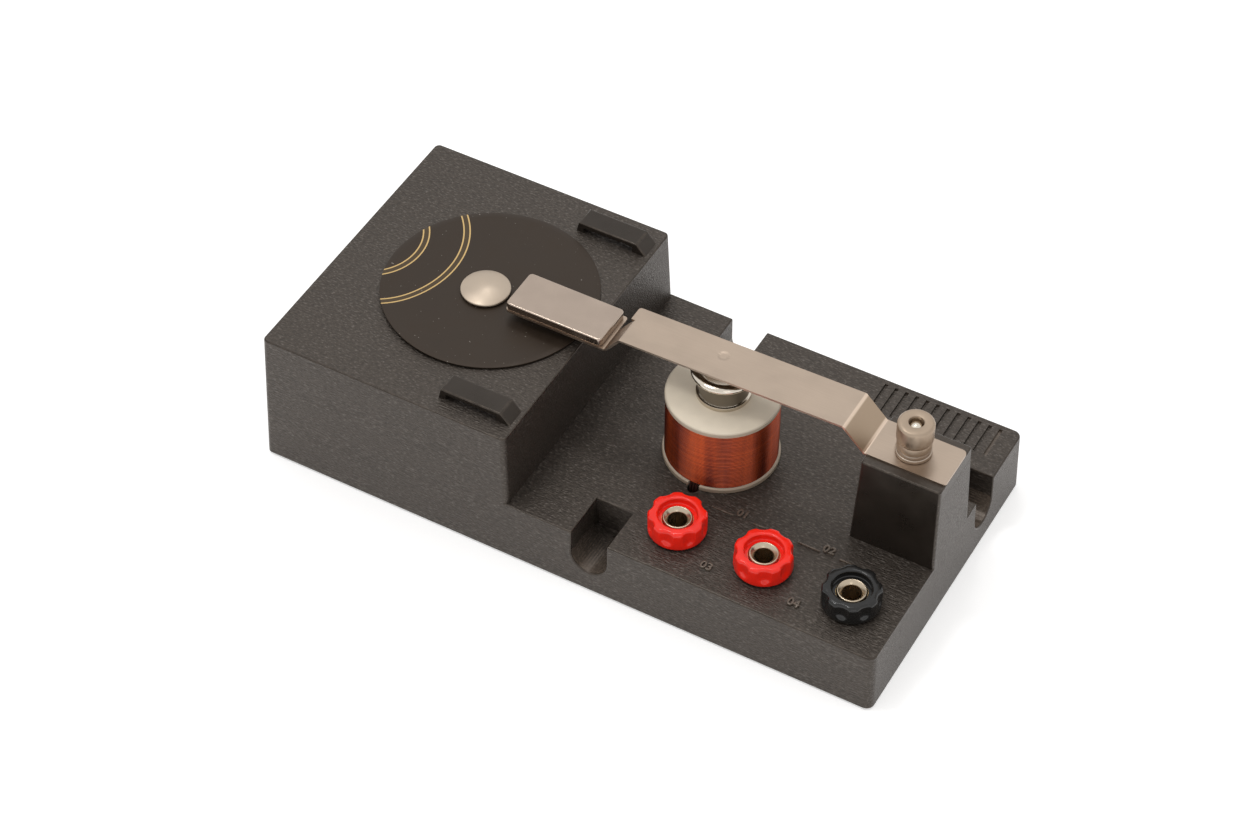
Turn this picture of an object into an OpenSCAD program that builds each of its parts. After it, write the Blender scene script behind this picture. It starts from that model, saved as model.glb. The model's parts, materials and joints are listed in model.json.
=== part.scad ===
// Ticker timer: a mains-frequency vibrating reed dots a paper tape through a carbon disc.
// Frame: X along the housing (block end -X, pillar end +X), Y across it (sockets at -Y),
// Z up, origin on the surface it stands on, under the middle of the housing.

/* [Housing] */
// Length of the moulded housing at its foot
body_l = 145; // [140:1:160]
// Width of the moulded housing at its foot
body_w = 72; // [70:1:80]
// Height of the low deck above the housing's underside
deck_h = 15; // [14:0.5:18]
// Length of the tall block, at its top, from the left end
block_l = 59.6; // [58:0.5:62]
// Height of the tall block above the housing's underside
block_h = 33.6; // [33:0.1:34]
// Length of the reed pillar at its foot on the deck, from the right end
pillar_l = 19.6; // [18:0.2:21]
// Width of the reed pillar at its top
pillar_w = 14.8; // [13:0.2:18]
// Height of the reed pillar above the block's top
pillar_rise = 3.4; // [3.2:0.1:4]
// Thickness of the outer walls
wall = 2.6; // [2:0.1:3]
// Thickness of the deck and of the block's top
skin = 2.5; // [2:0.1:3]
// Draft of the outer walls, in degrees
draft = 1.6; // [1:0.1:2]
// Draft of the step and of the pillar's sides, in degrees
inner_draft = 2.4; // [1:0.1:3]
// Radius of the upright edges
edge_r = 1.8; // [1:0.1:3]
// Radius of the upright edges of the step and the pillar
inner_edge_r = 0.6; // [0.4:0.1:1]

/* [Clamp recesses] */
// Width of each recess, and of its round floor
recess_w = 8.4; // [7:0.2:9]
// How far each recess runs in from the wall
recess_depth = 11.3; // [9:0.1:12]
// Height of the lowest line of the round floor above the underside
recess_floor = 5; // [5:0.1:6]
// Wall round each recess
recess_wall = 2; // [1.6:0.1:2.2]
// Middle of the front and back recesses, from the first socket
recess_to_socket = 14.4; // [14:0.1:15.4]
// Middle of the end recess, from the centreline
recess_end_y = 16.8; // [16.6:0.2:18]
// Height of the shallow window in each recess's far wall
window_h = 4.6; // [3:0.2:5]
// Width of the window
window_w = 5.2; // [4:0.2:6]
// Depth of the window
window_t = 0.8; // [0.4:0.1:1.2]
// Height of the window's sill above the underside
window_sill = 6.6; // [6:0.2:8]

/* [Grip grooves] */
// Number of grooves on the deck behind the pillar
groove_n = 12; // [4:1:14]
// Length of a groove
groove_l = 8.3; // [6:0.1:10]
// Width of a groove
groove_w = 0.8; // [0.3:0.1:1]
// Depth of a groove
groove_t = 0.5; // [0.3:0.1:0.8]
// Distance from one groove to the next
groove_pitch = 2.44; // [2:0.02:2.5]
// Last groove's distance from the right end
groove_end = 4.8; // [4.2:0.1:6]
// Distance of the grooves' far ends from the back
groove_back = 1.8; // [1.6:0.1:3]

/* [Tape guides] */
// Middle of the tape's path, from the step
tape_from_step = 10.3; // [10:0.1:11]
// Width of the slot for the tape
slot_w = 12; // [11:0.2:13]
// Height of the slot for the tape
slot_h = 1.5; // [0.6:0.1:1.6]
// Thickness of the bridge over the slot
bridge_t = 1.1; // [0.8:0.1:1.4]
// Width of the bridge's flat top, along the housing
bridge_top = 14.1; // [13.4:0.1:15]
// How far the bridge's left end slopes out
slope_left = 0.6; // [0.4:0.1:1.2]
// How far the bridge's right end slopes out
slope_right = 2.2; // [1:0.1:2.4]
// Length of each guide along the tape
guide_l = 5; // [3.4:0.1:5.2]
// Distance of each guide from the front or the back
guide_inset = 5; // [3:0.1:5.2]

/* [Base cover] */
// Thickness of the base cover
cover_t = 2; // [1.6:0.1:2.4]
// Width of the rim that hides the cover's edge
rim = 1.2; // [1:0.1:1.4]
// Gap round the cover
cover_gap = 0.15; // [0.1:0.05:0.3]
// Radius of the cover screws' shanks
screw_r = 1.3; // [1:0.1:1.4]
// Length of the cover screws
screw_l = 9; // [7:0.5:11]
// Radius of the cover screws' heads
screw_head_r = 2.6; // [2.4:0.1:2.8]
// Height of the cover screws' countersunk heads
screw_head_h = 1.3; // [1.2:0.1:1.5]
// Radius of the screw bosses
boss_r = 2.9; // [2.6:0.1:3]
// Distance of the block's bosses from the walls' foot
boss_inset = 5.2; // [4.8:0.1:5.4]
// Distance of the deck's bosses from the right end
boss_from_end = 20.2; // [19:0.2:21]
// How far the rubber feet stand below the housing
foot_proud = 0.6; // [0.4:0.1:0.8]
// Depth of the recesses that hold the feet
foot_seat = 0.6; // [0.4:0.1:0.8]
// Radius of the rubber feet
foot_r = 5; // [4:0.2:5.4]
// Distance of the feet from the ends of the housing
foot_end = 15; // [14.6:0.2:16]
// Distance of the feet from the sides of the housing
foot_side = 12; // [11:0.2:13]

/* [Coil] */
// Middle of the coil, from the step
coil_from_step = 31.8; // [31:0.1:33]
// Radius of the bobbin's bottom flange
flange_r = 12.5; // [12:0.1:12.6]
// Radius of the bobbin's top flange
top_flange_r = 12.2; // [11.8:0.1:12.6]
// Thickness of the flanges
flange_t = 1.1; // [0.8:0.1:1.4]
// Height of the bobbin
bobbin_h = 17.5; // [16:0.1:17.8]
// Thickness of the bobbin's barrel
barrel_t = 1; // [0.8:0.1:1.4]
// Radius of the winding
winding_r = 11.7; // [10:0.1:11.7]
// Radius of the core inside the bobbin
core_r = 4; // [3.6:0.1:4.4]
// Radius of the core's collar
collar_r = 5.8; // [5.4:0.1:6]
// Height of the core's collar
collar_h = 1; // [0.6:0.1:1.2]
// Radius of the core's neck, above the collar
neck_r = 5.3; // [5:0.1:5.4]
// Radius of the core's rounded rim
rim_r = 7; // [6.4:0.1:7.2]
// Radius of the round of the core's rim
rim_round = 0.8; // [0.6:0.1:1.2]
// Gap between the core and the reed over it
pole_gap = 1.4; // [1.3:0.1:1.8]
// Radius of the recess in the core's top
dish_r = 5; // [4.4:0.1:5.4]
// Depth of the recess in the core's top
dish_t = 1.4; // [1:0.1:2]
// Radius of the core's threaded tail
tail_r = 3; // [2.8:0.1:3.2]
// Radius of the steel washer under the deck
core_washer_r = 6.4; // [6:0.1:6.8]
// Thickness of the steel washer under the deck
core_washer_t = 1.2; // [1:0.1:1.6]
// Height of the core's nut
core_nut_h = 4.4; // [4:0.1:5]
// Size across the flats of the core's nut
core_nut_af = 10; // [9:0.5:11]

/* [Reed] */
// Width of the reed
reed_w = 10.6; // [10:0.1:11]
// Thickness of the reed
reed_t = 0.5; // [0.4:0.05:0.6]
// Distance of the reed's lower bend from the pillar's face at the deck
bend_in = 0.6; // [0.4:0.1:0.8]
// Length of the reed's riser, along the housing
riser_l = 5; // [4.6:0.1:5.6]
// Height of the reed's riser
riser_h = 5.1; // [4.8:0.1:5.4]
// Slope of the arm down to the tape, in degrees
arm_slope = 1.35; // [1.2:0.05:1.6]
// Distance of the arm's end from the step, towards the coil
shoulder_from_step = 9.1; // [8.6:0.1:9.6]
// Width of the neck, from the reed's front edge
neck_w = 6.8; // [5:0.1:7.4]
// How far back from the arm's end the neck bends down
neck_back = 0.8; // [0.6:0.1:1.2]
// Length of the neck, which drops to the paddle
neck_l = 3.4; // [3:0.1:3.6]
// Length of the paddle
paddle_l = 23.9; // [23.6:0.1:24.4]
// Radius of the reed's corners
corner_r = 1.1; // [0.6:0.1:1.4]
// Gap between the reed's clamped foot and its arm, at the bend
bend_gap = 0.2; // [0.15:0.05:0.3]
// Length of the magnet
magnet_l = 23; // [21:0.1:23.2]
// Width of the magnet
magnet_w = 10.6; // [9:0.1:10.6]
// Thickness of the magnet
magnet_t = 2; // [1.5:0.1:2.5]
// Radius of the magnet's upright edges
magnet_r = 0.9; // [0.7:0.1:1.2]
// Chamfer of the magnet's other edges
magnet_c = 0.3; // [0.2:0.05:0.5]
// Distance of the magnet from the paddle's free end
magnet_inset = 0.1; // [0.1:0.1:0.4]
// Radius of the striker point's flange
point_flange_r = 1.4; // [1.2:0.1:1.6]
// Radius of the striker point
point_r = 0.7; // [0.5:0.1:0.8]
// Length of the striker point under the reed
point_l = 1.4; // [1.2:0.05:1.6]
// Gap between the striker point and the carbon disc at rest
striker_gap = 0.95; // [0.9:0.05:1.2]

/* [Reed clamp] */
// Radius of the clamp stud
stud_r = 1.5; // [1.25:0.05:1.6]
// Distance of the stud from the right end
stud_from_end = 10.6; // [9:0.2:12]
// Radius of the brass insert in the pillar
insert_r = 2.4; // [2.2:0.1:2.6]
// Length of the brass insert
insert_l = 8; // [6:0.5:9]
// Radius of the clamp washer
washer_r = 3.8; // [3.4:0.1:4]
// Thickness of the clamp washer
washer_t = 1; // [0.8:0.1:1.1]
// Radius of the lock washer
lock_r = 3.6; // [3.4:0.1:3.8]
// Thickness of the lock washer
lock_t = 1; // [0.8:0.1:1.1]
// Width of the split in the lock washer
split_w = 0.5; // [0.3:0.1:0.8]
// Radius of the thumb nut
nut_r = 3.85; // [3.5:0.05:4.2]
// Height of the thumb nut
nut_h = 6.6; // [6:0.1:7.4]
// Radius of the thumb nut's foot
nut_foot_r = 3.4; // [3:0.1:3.5]
// Height of the thumb nut's foot
nut_foot_h = 2.8; // [2:0.1:3.2]
// Radius of the round of the thumb nut's top edge
nut_round = 0.7; // [0.4:0.1:0.9]
// How far the stud ends below the nut's top
stud_sunk = 0.7; // [0.3:0.1:1]

/* [Carbon disc] */
// Radius of the carbon disc
disc_r = 23.4; // [22:0.1:23.6]
// Thickness of the carbon disc
disc_t = 0.3; // [0.2:0.05:0.4]
// Middle of the disc pin, from the step
disc_from_step = 25.2; // [25:0.1:25.4]
// How far the disc's middle lies from its hole, along the housing
disc_off_x = 0.5; // [0:0.1:0.6]
// How far the disc's middle lies from its hole, across the housing
disc_off_y = 1; // [0:0.1:1]
// Gap under the disc
disc_gap = 0.25; // [0.2:0.05:0.3]
// Radius of the disc pin's head
pin_head_r = 5.4; // [4.8:0.1:5.8]
// Height of the disc pin's edge
pin_rim_h = 0.5; // [0.3:0.1:0.7]
// Rise of the disc pin's domed head
pin_dome_h = 1.2; // [0.8:0.1:1.5]
// Radius of the disc pin's shank
pin_r = 0.75; // [0.6:0.05:1]
// Length of the disc pin's shank
pin_l = 9; // [7:0.5:10]

/* [Sockets] */
// Radius of the sockets' bores
bore_r = 2; // [1.9:0.05:2.1]
// Depth of the sockets' bores
bore_l = 13; // [12:0.5:13.5]
// Radius of the countersink at a bore's mouth
mouth_r = 2.8; // [2.4:0.1:2.9]
// Depth of the countersink at a bore's mouth
mouth_t = 0.7; // [0.4:0.1:1]
// Radius of the sockets' threaded stems
stem_r = 3.2; // [3:0.05:3.25]
// Distance from one socket to the next
socket_pitch = 19.9; // [19:0.1:20.4]
// Distance of the last socket from the right end
socket_end = 11.2; // [10.8:0.1:12]
// Distance of the sockets from the front
socket_front = 11.9; // [11.6:0.1:12.4]
// Height of the stems above the deck
stem_h = 3.9; // [3.7:0.1:4.2]
// Radius of the scalloped caps
cap_r = 6.2; // [6:0.1:6.6]
// Height of the top of the caps above the deck
cap_h = 5; // [4.6:0.1:5.4]
// Gap between the caps and the deck
cap_lift = 0.35; // [0.3:0.05:0.6]
// Radius of the opening in the top of a cap
cap_mouth_r = 4.1; // [4:0.05:4.2]
// Number of scallops round a cap
scallop_n = 8; // [6:1:9]
// Radius of a scallop, which ends in a ball of the same radius
scallop_r = 2.6; // [2:0.1:3]
// Depth of a scallop
scallop_t = 0.7; // [0.3:0.1:0.8]
// Height of a scallop's lower end above the cap's foot
scallop_foot = 1.2; // [0.6:0.1:1.6]
// Radius of the threaded ring in a cap
ring_r = 4.5; // [4.4:0.05:4.6]
// Travel of a cap as it unscrews
cap_travel = 1.5; // [1:0.1:1.6]
// Size across the flats of the sockets' nuts
nut_af = 10; // [9:0.5:10.5]
// Height of the sockets' nuts
socket_nut_h = 3; // [2.5:0.1:3.5]
// Thickness of the solder tags
tag_t = 0.5; // [0.4:0.1:0.8]
// Length of a solder tag's tail, from the socket's middle
tag_l = 9; // [8:0.2:10]
// Width of a solder tag's tail
tag_w = 2.4; // [2:0.1:3]

/* [Wiring] */
// Radius of the coil's leads, with their sleeves
lead_r = 0.3; // [0.25:0.05:0.3]
// Radius of the leads' hole in the deck
lead_hole_r = 1.2; // [1.2:0.05:1.4]
// Distance from one lead to the next in the hole
lead_pitch = 0.66; // [0.64:0.01:0.7]
// How much lower each lead runs under the deck than the one before
lead_step = 1.6; // [1.2:0.1:1.8]
// How far the leads hang below their ends, unless a lead is too short for it
lead_sag = 2.4; // [2:0.1:2.8]

/* [Hidden] */
$fn = 64;
hull_fn = 32;
eps = 0.01;
slack = 0.05;     // radial clearance of a running fit
gap = 0.1;        // radial clearance of a part that only passes through
air = 0.3;        // clearance of pieces that move past each other

// heights above the surface the part stands on
under_z = foot_proud;
cover_z = under_z + cover_t;
deck_z = under_z + deck_h;
block_z = under_z + block_h;
pillar_h = block_h + pillar_rise;
pillar_z = under_z + pillar_h;
deck_under_z = deck_z - skin;

// places along the housing
left_x = -body_l / 2;
right_x = body_l / 2;
front_y = -body_w / 2;
back_y = body_w / 2;
step_x = left_x + block_l;
tape_x = step_x - tape_from_step;
coil_x = step_x + coil_from_step;
disc_x = step_x - disc_from_step;
pillar_x = right_x - pillar_l;
stud_x = right_x - stud_from_end;
socket_y = front_y + socket_front;
function socket_x(i) = right_x - socket_end - (2 - i) * socket_pitch;
recess_x = socket_x(0) - recess_to_socket;

// draft, as a lean in millimetres over a height
function lean(h) = h * tan(draft);
function inner_lean(h) = h * tan(inner_draft);
pillar_top_x = pillar_x + inner_lean(pillar_h - deck_h);
pillar_foot_w = pillar_w + 2 * inner_lean(pillar_h - deck_h);
pillar_end_x = right_x - lean(pillar_h);

// the recesses' round floors
recess_r = recess_w / 2;
recess_axis_z = under_z + recess_floor + recess_r;

// the coil
bobbin_top_z = deck_z + bobbin_h;
bobbin_bore_r = core_r + gap;
barrel_r = bobbin_bore_r + barrel_t;
core_washer_z = deck_under_z - core_washer_t;
core_nut_z = core_washer_z - core_nut_h;
tail_proud = 0.6;
core_tail_z = core_nut_z - tail_proud;
lead_hole_y = -flange_r - 0.1;

// the reed, by its top face
reed_foot_z = pillar_z + reed_t;
lower_bend_x = pillar_x + bend_in;
upper_bend_x = lower_bend_x - riser_l;
upper_bend_z = reed_foot_z + riser_h;
shoulder_x = step_x + shoulder_from_step;
neck_x = shoulder_x + neck_back;
function arm_z(x) = upper_bend_z - (upper_bend_x - x) * tan(arm_slope);
core_top_z = arm_z(coil_x) - reed_t - pole_gap;
head_h = core_top_z - bobbin_top_z;
paddle_x = neck_x - neck_l;
paddle_end_x = paddle_x - paddle_l;
magnet_x = paddle_end_x + magnet_inset;
// how far the inside of a bend through angle a is set off from its outside
function mitre(a) = reed_t * tan(a / 2);
riser_angle = atan2(riser_h, riser_l);

// the reed clamp
washer_z = reed_foot_z;
lock_z = washer_z + washer_t;
nut_z = lock_z + lock_t + slack;
nut_top_z = nut_z + nut_h;
stud_top_z = nut_top_z - stud_sunk;
insert_z = pillar_z - insert_l;
stud_z = insert_z + 0.5;

// the carbon disc and its pin
disc_z = block_z + disc_gap;
pin_z = disc_z + disc_t + air;
pin_boss_r = 2.6;
// the reed's paddle, which holds the striker point over the disc
paddle_under_z = disc_z + disc_t + striker_gap + point_l;
paddle_z = paddle_under_z + reed_t;
neck_angle = atan2(arm_z(neck_x) - paddle_z, neck_l);

// the sockets
bush_flange_t = 0.8;
bush_flange_r = 4.7;
bush_spigot_r = 4.2;
stem_flange_t = 0.7;
stem_flange_r = 4.4;
skirt_r = 5;
stem_flange_z = deck_z + bush_flange_t;
ring_z = stem_flange_z + stem_flange_t + slack;
stem_top_z = deck_z + stem_h;
ring_top_z = stem_top_z - 0.7;
bore_floor = 1.2;
stem_z = stem_top_z - bore_l - bore_floor;
tag_z = deck_under_z - tag_t;
socket_nut_z = tag_z - socket_nut_h;

charcoal = [0.30, 0.28, 0.27];
steel = [0.72, 0.69, 0.65];
brass = [0.80, 0.66, 0.36];
cream = [0.86, 0.83, 0.76];
copper = [0.62, 0.27, 0.15];
cap_colours = ["red", "red", [0.12, 0.12, 0.12]];
// how far each cap is screwed round, in scallops
cap_turned = [0, 0.5, 0];
first_scallop = 51.5;

// ---- shapes that repeat ----

// a thin slab with round corners, the cross-section of a moulding
module slab(x0, x1, y0, y1, r, z) {
    for (x = [x0 + r, x1 - r], y = [y0 + r, y1 - r])
        translate([x, y, z]) cylinder(r = r, h = eps, $fn = hull_fn);
}

// a moulded form whose four sides lean in by their own amounts over its height;
// lo and hi are its corners at the foot, lean_lo and lean_hi the leans of its sides
module moulding(lo, hi, z, h, lean_lo, lean_hi, r) {
    hull() {
        slab(lo[0], hi[0], lo[1], hi[1], r, z);
        slab(lo[0] + lean_lo[0], hi[0] - lean_hi[0], lo[1] + lean_lo[1], hi[1] - lean_hi[1],
            r, z + h - eps);
    }
}

module tube(r_out, r_in, h) {
    difference() {
        cylinder(r = r_out, h = h);
        translate([0, 0, -1]) cylinder(r = r_in, h = h + 2);
    }
}

module hex_nut(af, h, r_hole) {
    difference() {
        cylinder(r = af / 2 / cos(30), h = h, $fn = 6);
        translate([0, 0, -1]) cylinder(r = r_hole, h = h + 2);
    }
}

module mirrored_y() {
    children();
    mirror([0, 1, 0]) children();
}

// a round tube swept along a list of points
function unit(v) = v / norm(v);
function heading(p, i) = unit(p[min(i + 1, len(p) - 1)] - p[max(i - 1, 0)]);
module swept_tube(p, r, sides = 8) {
    aside = unit([0.31, -0.27, 0.91]);
    rings = [for (i = [0 : len(p) - 1])
        let (u = unit(cross(heading(p, i), aside)), v = cross(heading(p, i), u))
        for (k = [0 : sides - 1]) p[i] + r * (cos(k * 360 / sides) * u + sin(k * 360 / sides) * v)];
    last = (len(p) - 1) * sides;
    skin_faces = [for (i = [0 : len(p) - 2], k = [0 : sides - 1])
        let (a = i * sides + k, b = i * sides + (k + 1) % sides)
        [a, b, b + sides, a + sides]];
    start_cap = [for (k = [sides - 1 : -1 : 0]) k];
    end_cap = [for (k = [0 : sides - 1]) last + k];
    polyhedron(points = rings, faces = concat([start_cap, end_cap], skin_faces));
}

// points along an arc about c, from angle a0 to angle a1
function arc(c, r, a0, a1, n = 6) = [for (i = [0 : n]) let (a = a0 + (a1 - a0) * i / n)
    c + r * [cos(a), sin(a)]];

// points along a smooth curve with two end points and two handles
function bend(a, b, c, d, n) = [for (i = [0 : n]) let (t = i / n, s = 1 - t)
    s * s * s * a + 3 * s * s * t * b + 3 * s * t * t * c + t * t * t * d];

// ---- the housing ----

module housing_form() {
    full_lo = [left_x, front_y];
    full_hi = [right_x, back_y];
    moulding(full_lo, full_hi, under_z, deck_h,
        [lean(deck_h), lean(deck_h)], [lean(deck_h), lean(deck_h)], edge_r);
    moulding(full_lo, [step_x + inner_lean(block_h), back_y], under_z, block_h,
        [lean(block_h), lean(block_h)], [inner_lean(block_h), lean(block_h)], inner_edge_r + 0.6);
    moulding([pillar_x - inner_lean(deck_h), -pillar_foot_w / 2 - inner_lean(deck_h)],
        [right_x, pillar_foot_w / 2 + inner_lean(deck_h)], under_z, pillar_h,
        [inner_lean(pillar_h), inner_lean(pillar_h)], [lean(pillar_h), inner_lean(pillar_h)],
        inner_edge_r);
}

// the hollow under the skin, open at the underside
module housing_hollow() {
    lo = [left_x + wall, front_y + wall];
    hi = [right_x - wall, back_y - wall];
    moulding(lo, hi, under_z - 1, deck_h - skin + 1,
        [lean(deck_h), lean(deck_h)], [lean(deck_h), lean(deck_h)], inner_edge_r);
    moulding(lo, [step_x + inner_lean(block_h) - wall, back_y - wall], under_z - 1,
        block_h - skin + 1, [lean(block_h), lean(block_h)], [inner_lean(block_h), lean(block_h)],
        inner_edge_r);
    moulding([pillar_x - inner_lean(deck_h) + wall, -pillar_foot_w / 2 - inner_lean(deck_h) + wall],
        [right_x - wall, pillar_foot_w / 2 + inner_lean(deck_h) - wall], under_z - 1,
        pillar_h - skin + 1, [inner_lean(pillar_h), inner_lean(pillar_h)],
        [lean(pillar_h), inner_lean(pillar_h)], inner_edge_r);
    // the rebate that takes the base cover
    translate([left_x + rim, front_y + rim, under_z - 1])
        cube([body_l - 2 * rim, body_w - 2 * rim, cover_t + 1]);
}

// one recess, running in from a wall at y = 0 towards +y, and its open top
module recess_cut() {
    translate([-recess_r, -1, recess_axis_z])
        cube([recess_w, recess_depth + 1, deck_z]);
    translate([0, -1, recess_axis_z]) rotate([-90, 0, 0])
        cylinder(r = recess_r, h = recess_depth + 1);
    translate([-recess_r, recess_depth - 1, under_z + window_sill])
        cube([window_w, window_t + 1, window_h]);
}

module recess_jacket() {
    r = recess_r + recess_wall;
    l = recess_depth + recess_wall + window_t;
    translate([-r, -1, recess_axis_z]) cube([2 * r, l + 1, deck_z]);
    translate([0, -1, recess_axis_z]) rotate([-90, 0, 0]) cylinder(r = r, h = l + 1);
}

// places a recess at the front, the back and the pillar's end
module at_recesses() {
    translate([recess_x, front_y, 0]) children();
    translate([recess_x, back_y, 0]) rotate([0, 0, 180]) children();
    translate([right_x, recess_end_y, 0]) rotate([0, 0, 90]) children();
}

module at_screws() {
    mirrored_y() {
        translate([left_x + boss_inset, front_y + boss_inset, 0]) children();
        translate([right_x - boss_from_end, front_y + boss_inset, 0]) children();
    }
}

// what stays standing inside the hollow
module housing_inside() {
    at_recesses() recess_jacket();
    at_screws() translate([0, 0, cover_z]) cylinder(r = boss_r, h = pillar_h);
    // boss of the disc pin, and ribs under the block's top
    rib_t = 1.4;
    rib_h = 5;
    translate([disc_x, 0, block_z - pin_l - 1]) cylinder(r = pin_boss_r, h = pin_l);
    for (y = [-body_w / 4, 0, body_w / 4])
        translate([left_x, y - rib_t / 2, block_z - skin - rib_h])
            cube([block_l, rib_t, rib_h + 1]);
    for (x = [disc_x, tape_x])
        translate([x - rib_t / 2, front_y, block_z - skin - rib_h])
            cube([rib_t, body_w, rib_h + 1]);
    // boss of the clamp stud's insert
    translate([stud_x, 0, insert_z - 1]) cylinder(r = insert_r + 2, h = insert_l);
}

// one bridge over the tape, standing on the block at y = 0 and running towards +y
module tape_guide() {
    w = bridge_top / 2;
    h = slot_h + bridge_t;
    translate([0, guide_l, 0]) rotate([90, 0, 0]) linear_extrude(guide_l)
        polygon([
            [-w - slope_left, -1], [-w - slope_left, 0], [-w, h], [w, h],
            [w + slope_right, 0], [w + slope_right, -1],
            [slot_w / 2, -1], [slot_w / 2, slot_h], [-slot_w / 2, slot_h], [-slot_w / 2, -1]
        ]);
}

module grip_grooves() {
    for (i = [0 : groove_n - 1])
        translate([right_x - groove_end - i * groove_pitch - groove_w / 2,
            back_y - groove_back - groove_l, deck_z - groove_t])
            cube([groove_w, groove_l, groove_t + 1]);
}

module base_housing() {
    color(charcoal) difference() {
        union() {
            difference() {
                housing_form();
                difference() {
                    housing_hollow();
                    housing_inside();
                }
            }
            mirrored_y() translate([tape_x, front_y + guide_inset, block_z]) tape_guide();
        }
        at_recesses() recess_cut();
        grip_grooves();
        at_screws() translate([0, 0, under_z]) cylinder(r = screw_r + slack, h = screw_l + 1);
        translate([disc_x, 0, block_z - pin_l]) cylinder(r = pin_r + slack, h = pin_l + 1);
        translate([coil_x, 0, 0]) cylinder(r = tail_r + gap, h = deck_z + 1);
        translate([coil_x, lead_hole_y, 0]) cylinder(r = lead_hole_r, h = deck_z + 1);
        translate([stud_x, 0, insert_z]) cylinder(r = insert_r, h = insert_l + 1);
        for (i = [0 : 2])
            translate([socket_x(i), socket_y, 0]) cylinder(r = bush_spigot_r + gap, h = deck_z + 1);
    }
}

module base_cover() {
    edge = rim + cover_gap;
    color(charcoal) difference() {
        translate([left_x + edge, front_y + edge, under_z])
            cube([body_l - 2 * edge, body_w - 2 * edge, cover_t]);
        at_screws() {
            cylinder(r = screw_r + gap, h = cover_z + 1);
            translate([0, 0, under_z + screw_head_h]) mirror([0, 0, 1])
                cylinder(r1 = screw_r + gap, r2 = screw_head_r + gap, h = screw_head_h);
            translate([0, 0, -1]) cylinder(r = screw_head_r + gap, h = under_z + 1 + eps);
        }
        at_feet() translate([0, 0, -1]) cylinder(r = foot_r + gap, h = under_z + foot_seat + 1);
    }
}

module cover_screws() {
    color(steel) at_screws() translate([0, 0, under_z]) difference() {
        rotate_extrude() polygon([
            [0, 0.1], [screw_head_r - 0.2, 0.1], [screw_head_r - 0.2, 0.2],
            [screw_r, screw_head_h], [screw_r, screw_l - 1], [0.3, screw_l], [0, screw_l]
        ]);
        // cross recess
        for (a = [0, 90]) rotate([0, 0, a]) translate([-1.3, -0.25, -1]) cube([2.6, 0.5, 1.8]);
    }
}

module at_feet() {
    for (x = [left_x + foot_end, right_x - foot_end], y = [front_y + foot_side, back_y - foot_side])
        translate([x, y, 0]) children();
}

module rubber_feet() {
    color("black") at_feet() cylinder(r = foot_r, h = under_z + foot_seat);
}

// ---- the coil and its core ----

module coil_bobbin() {
    notch_in = winding_r - 0.4;
    color(cream) translate([coil_x, 0, deck_z]) difference() {
        union() {
            cylinder(r = flange_r, h = flange_t);
            cylinder(r = barrel_r, h = bobbin_h);
            translate([0, 0, bobbin_h - flange_t]) cylinder(r = top_flange_r, h = flange_t);
        }
        translate([0, 0, -1]) cylinder(r = bobbin_bore_r, h = bobbin_h + 2);
        // notch that lets the leads out of the bottom flange
        translate([-lead_hole_r, -flange_r - 1, -1])
            cube([2 * lead_hole_r, flange_r + 1 - notch_in, flange_t + 2]);
    }
}

module coil_winding() {
    color(copper) translate([coil_x, 0, deck_z + flange_t + slack])
        tube(winding_r, barrel_r + slack, bobbin_h - 2 * flange_t - 2 * slack);
}

module pole_core() {
    z1 = bobbin_h + collar_h;
    z2 = bobbin_h + head_h;
    color(steel) translate([coil_x, 0, deck_z]) difference() {
        union() {
            translate([0, 0, core_tail_z - deck_z]) cylinder(r = tail_r, h = deck_z - core_tail_z + 1);
            cylinder(r = core_r, h = bobbin_h + 1);
            translate([0, 0, bobbin_h]) cylinder(r = collar_r, h = collar_h);
            translate([0, 0, z1]) cylinder(r = neck_r, h = head_h - collar_h);
            // the rolled rim
            rotate_extrude() translate([rim_r - rim_round, z2 - rim_round]) circle(rim_round);
            translate([0, 0, z2 - 2 * rim_round]) cylinder(r = rim_r - rim_round, h = 2 * rim_round);
        }
        // dished recess in the top
        translate([0, 0, z2 - dish_t])
            cylinder(r1 = dish_r - dish_t / 2, r2 = dish_r, h = dish_t + eps);
    }
}

module core_washer() {
    color(steel) translate([coil_x, 0, core_washer_z])
        tube(core_washer_r, tail_r + gap, core_washer_t);
}

module core_nut() {
    color(steel) translate([coil_x, 0, core_nut_z]) hex_nut(core_nut_af, core_nut_h, tail_r + slack);
}

// a lead: down beside the winding, through the deck, and along to its socket's tag
module lead(i) {
    x = coil_x + (1 - i) * lead_pitch;
    y = lead_hole_y + lead_r;
    start = [x, -winding_r - lead_r - slack, deck_z + flange_t];
    below = [x, y, deck_under_z - 1 - i * lead_step];
    tag = [socket_x(i), socket_y + tag_l + lead_r + gap, tag_z + tag_t / 2];
    droop = min(lead_sag, norm(tag - below) / 2);
    sag = [0, 0, -droop];
    behind = [0, droop, 0];
    color(copper) swept_tube(concat(
        [start, [x, y, deck_z]],
        bend(below, below + sag, tag + sag + behind, tag, 9)), lead_r);
}

module start_lead() { lead(0); }
module tap_lead() { lead(1); }
module finish_lead() { lead(2); }

// ---- the reed ----

// a strip of length l and width w from x = 0, with its two far corners rounded
module rounded_strip(l, w) {
    square([l - corner_r, w]);
    translate([l - corner_r - eps, corner_r]) square([corner_r + eps, w - 2 * corner_r]);
    for (y = [corner_r, w - corner_r]) translate([l - corner_r, y]) circle(corner_r);
}

module reed_foot() {
    x0 = lower_bend_x + bend_gap;
    color(steel) difference() {
        translate([x0, -reed_w / 2, pillar_z]) linear_extrude(reed_t)
            rounded_strip(pillar_end_x - x0, reed_w);
        translate([stud_x, 0, pillar_z - 1]) cylinder(r = stud_r + gap, h = reed_t + 2);
    }
}

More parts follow.
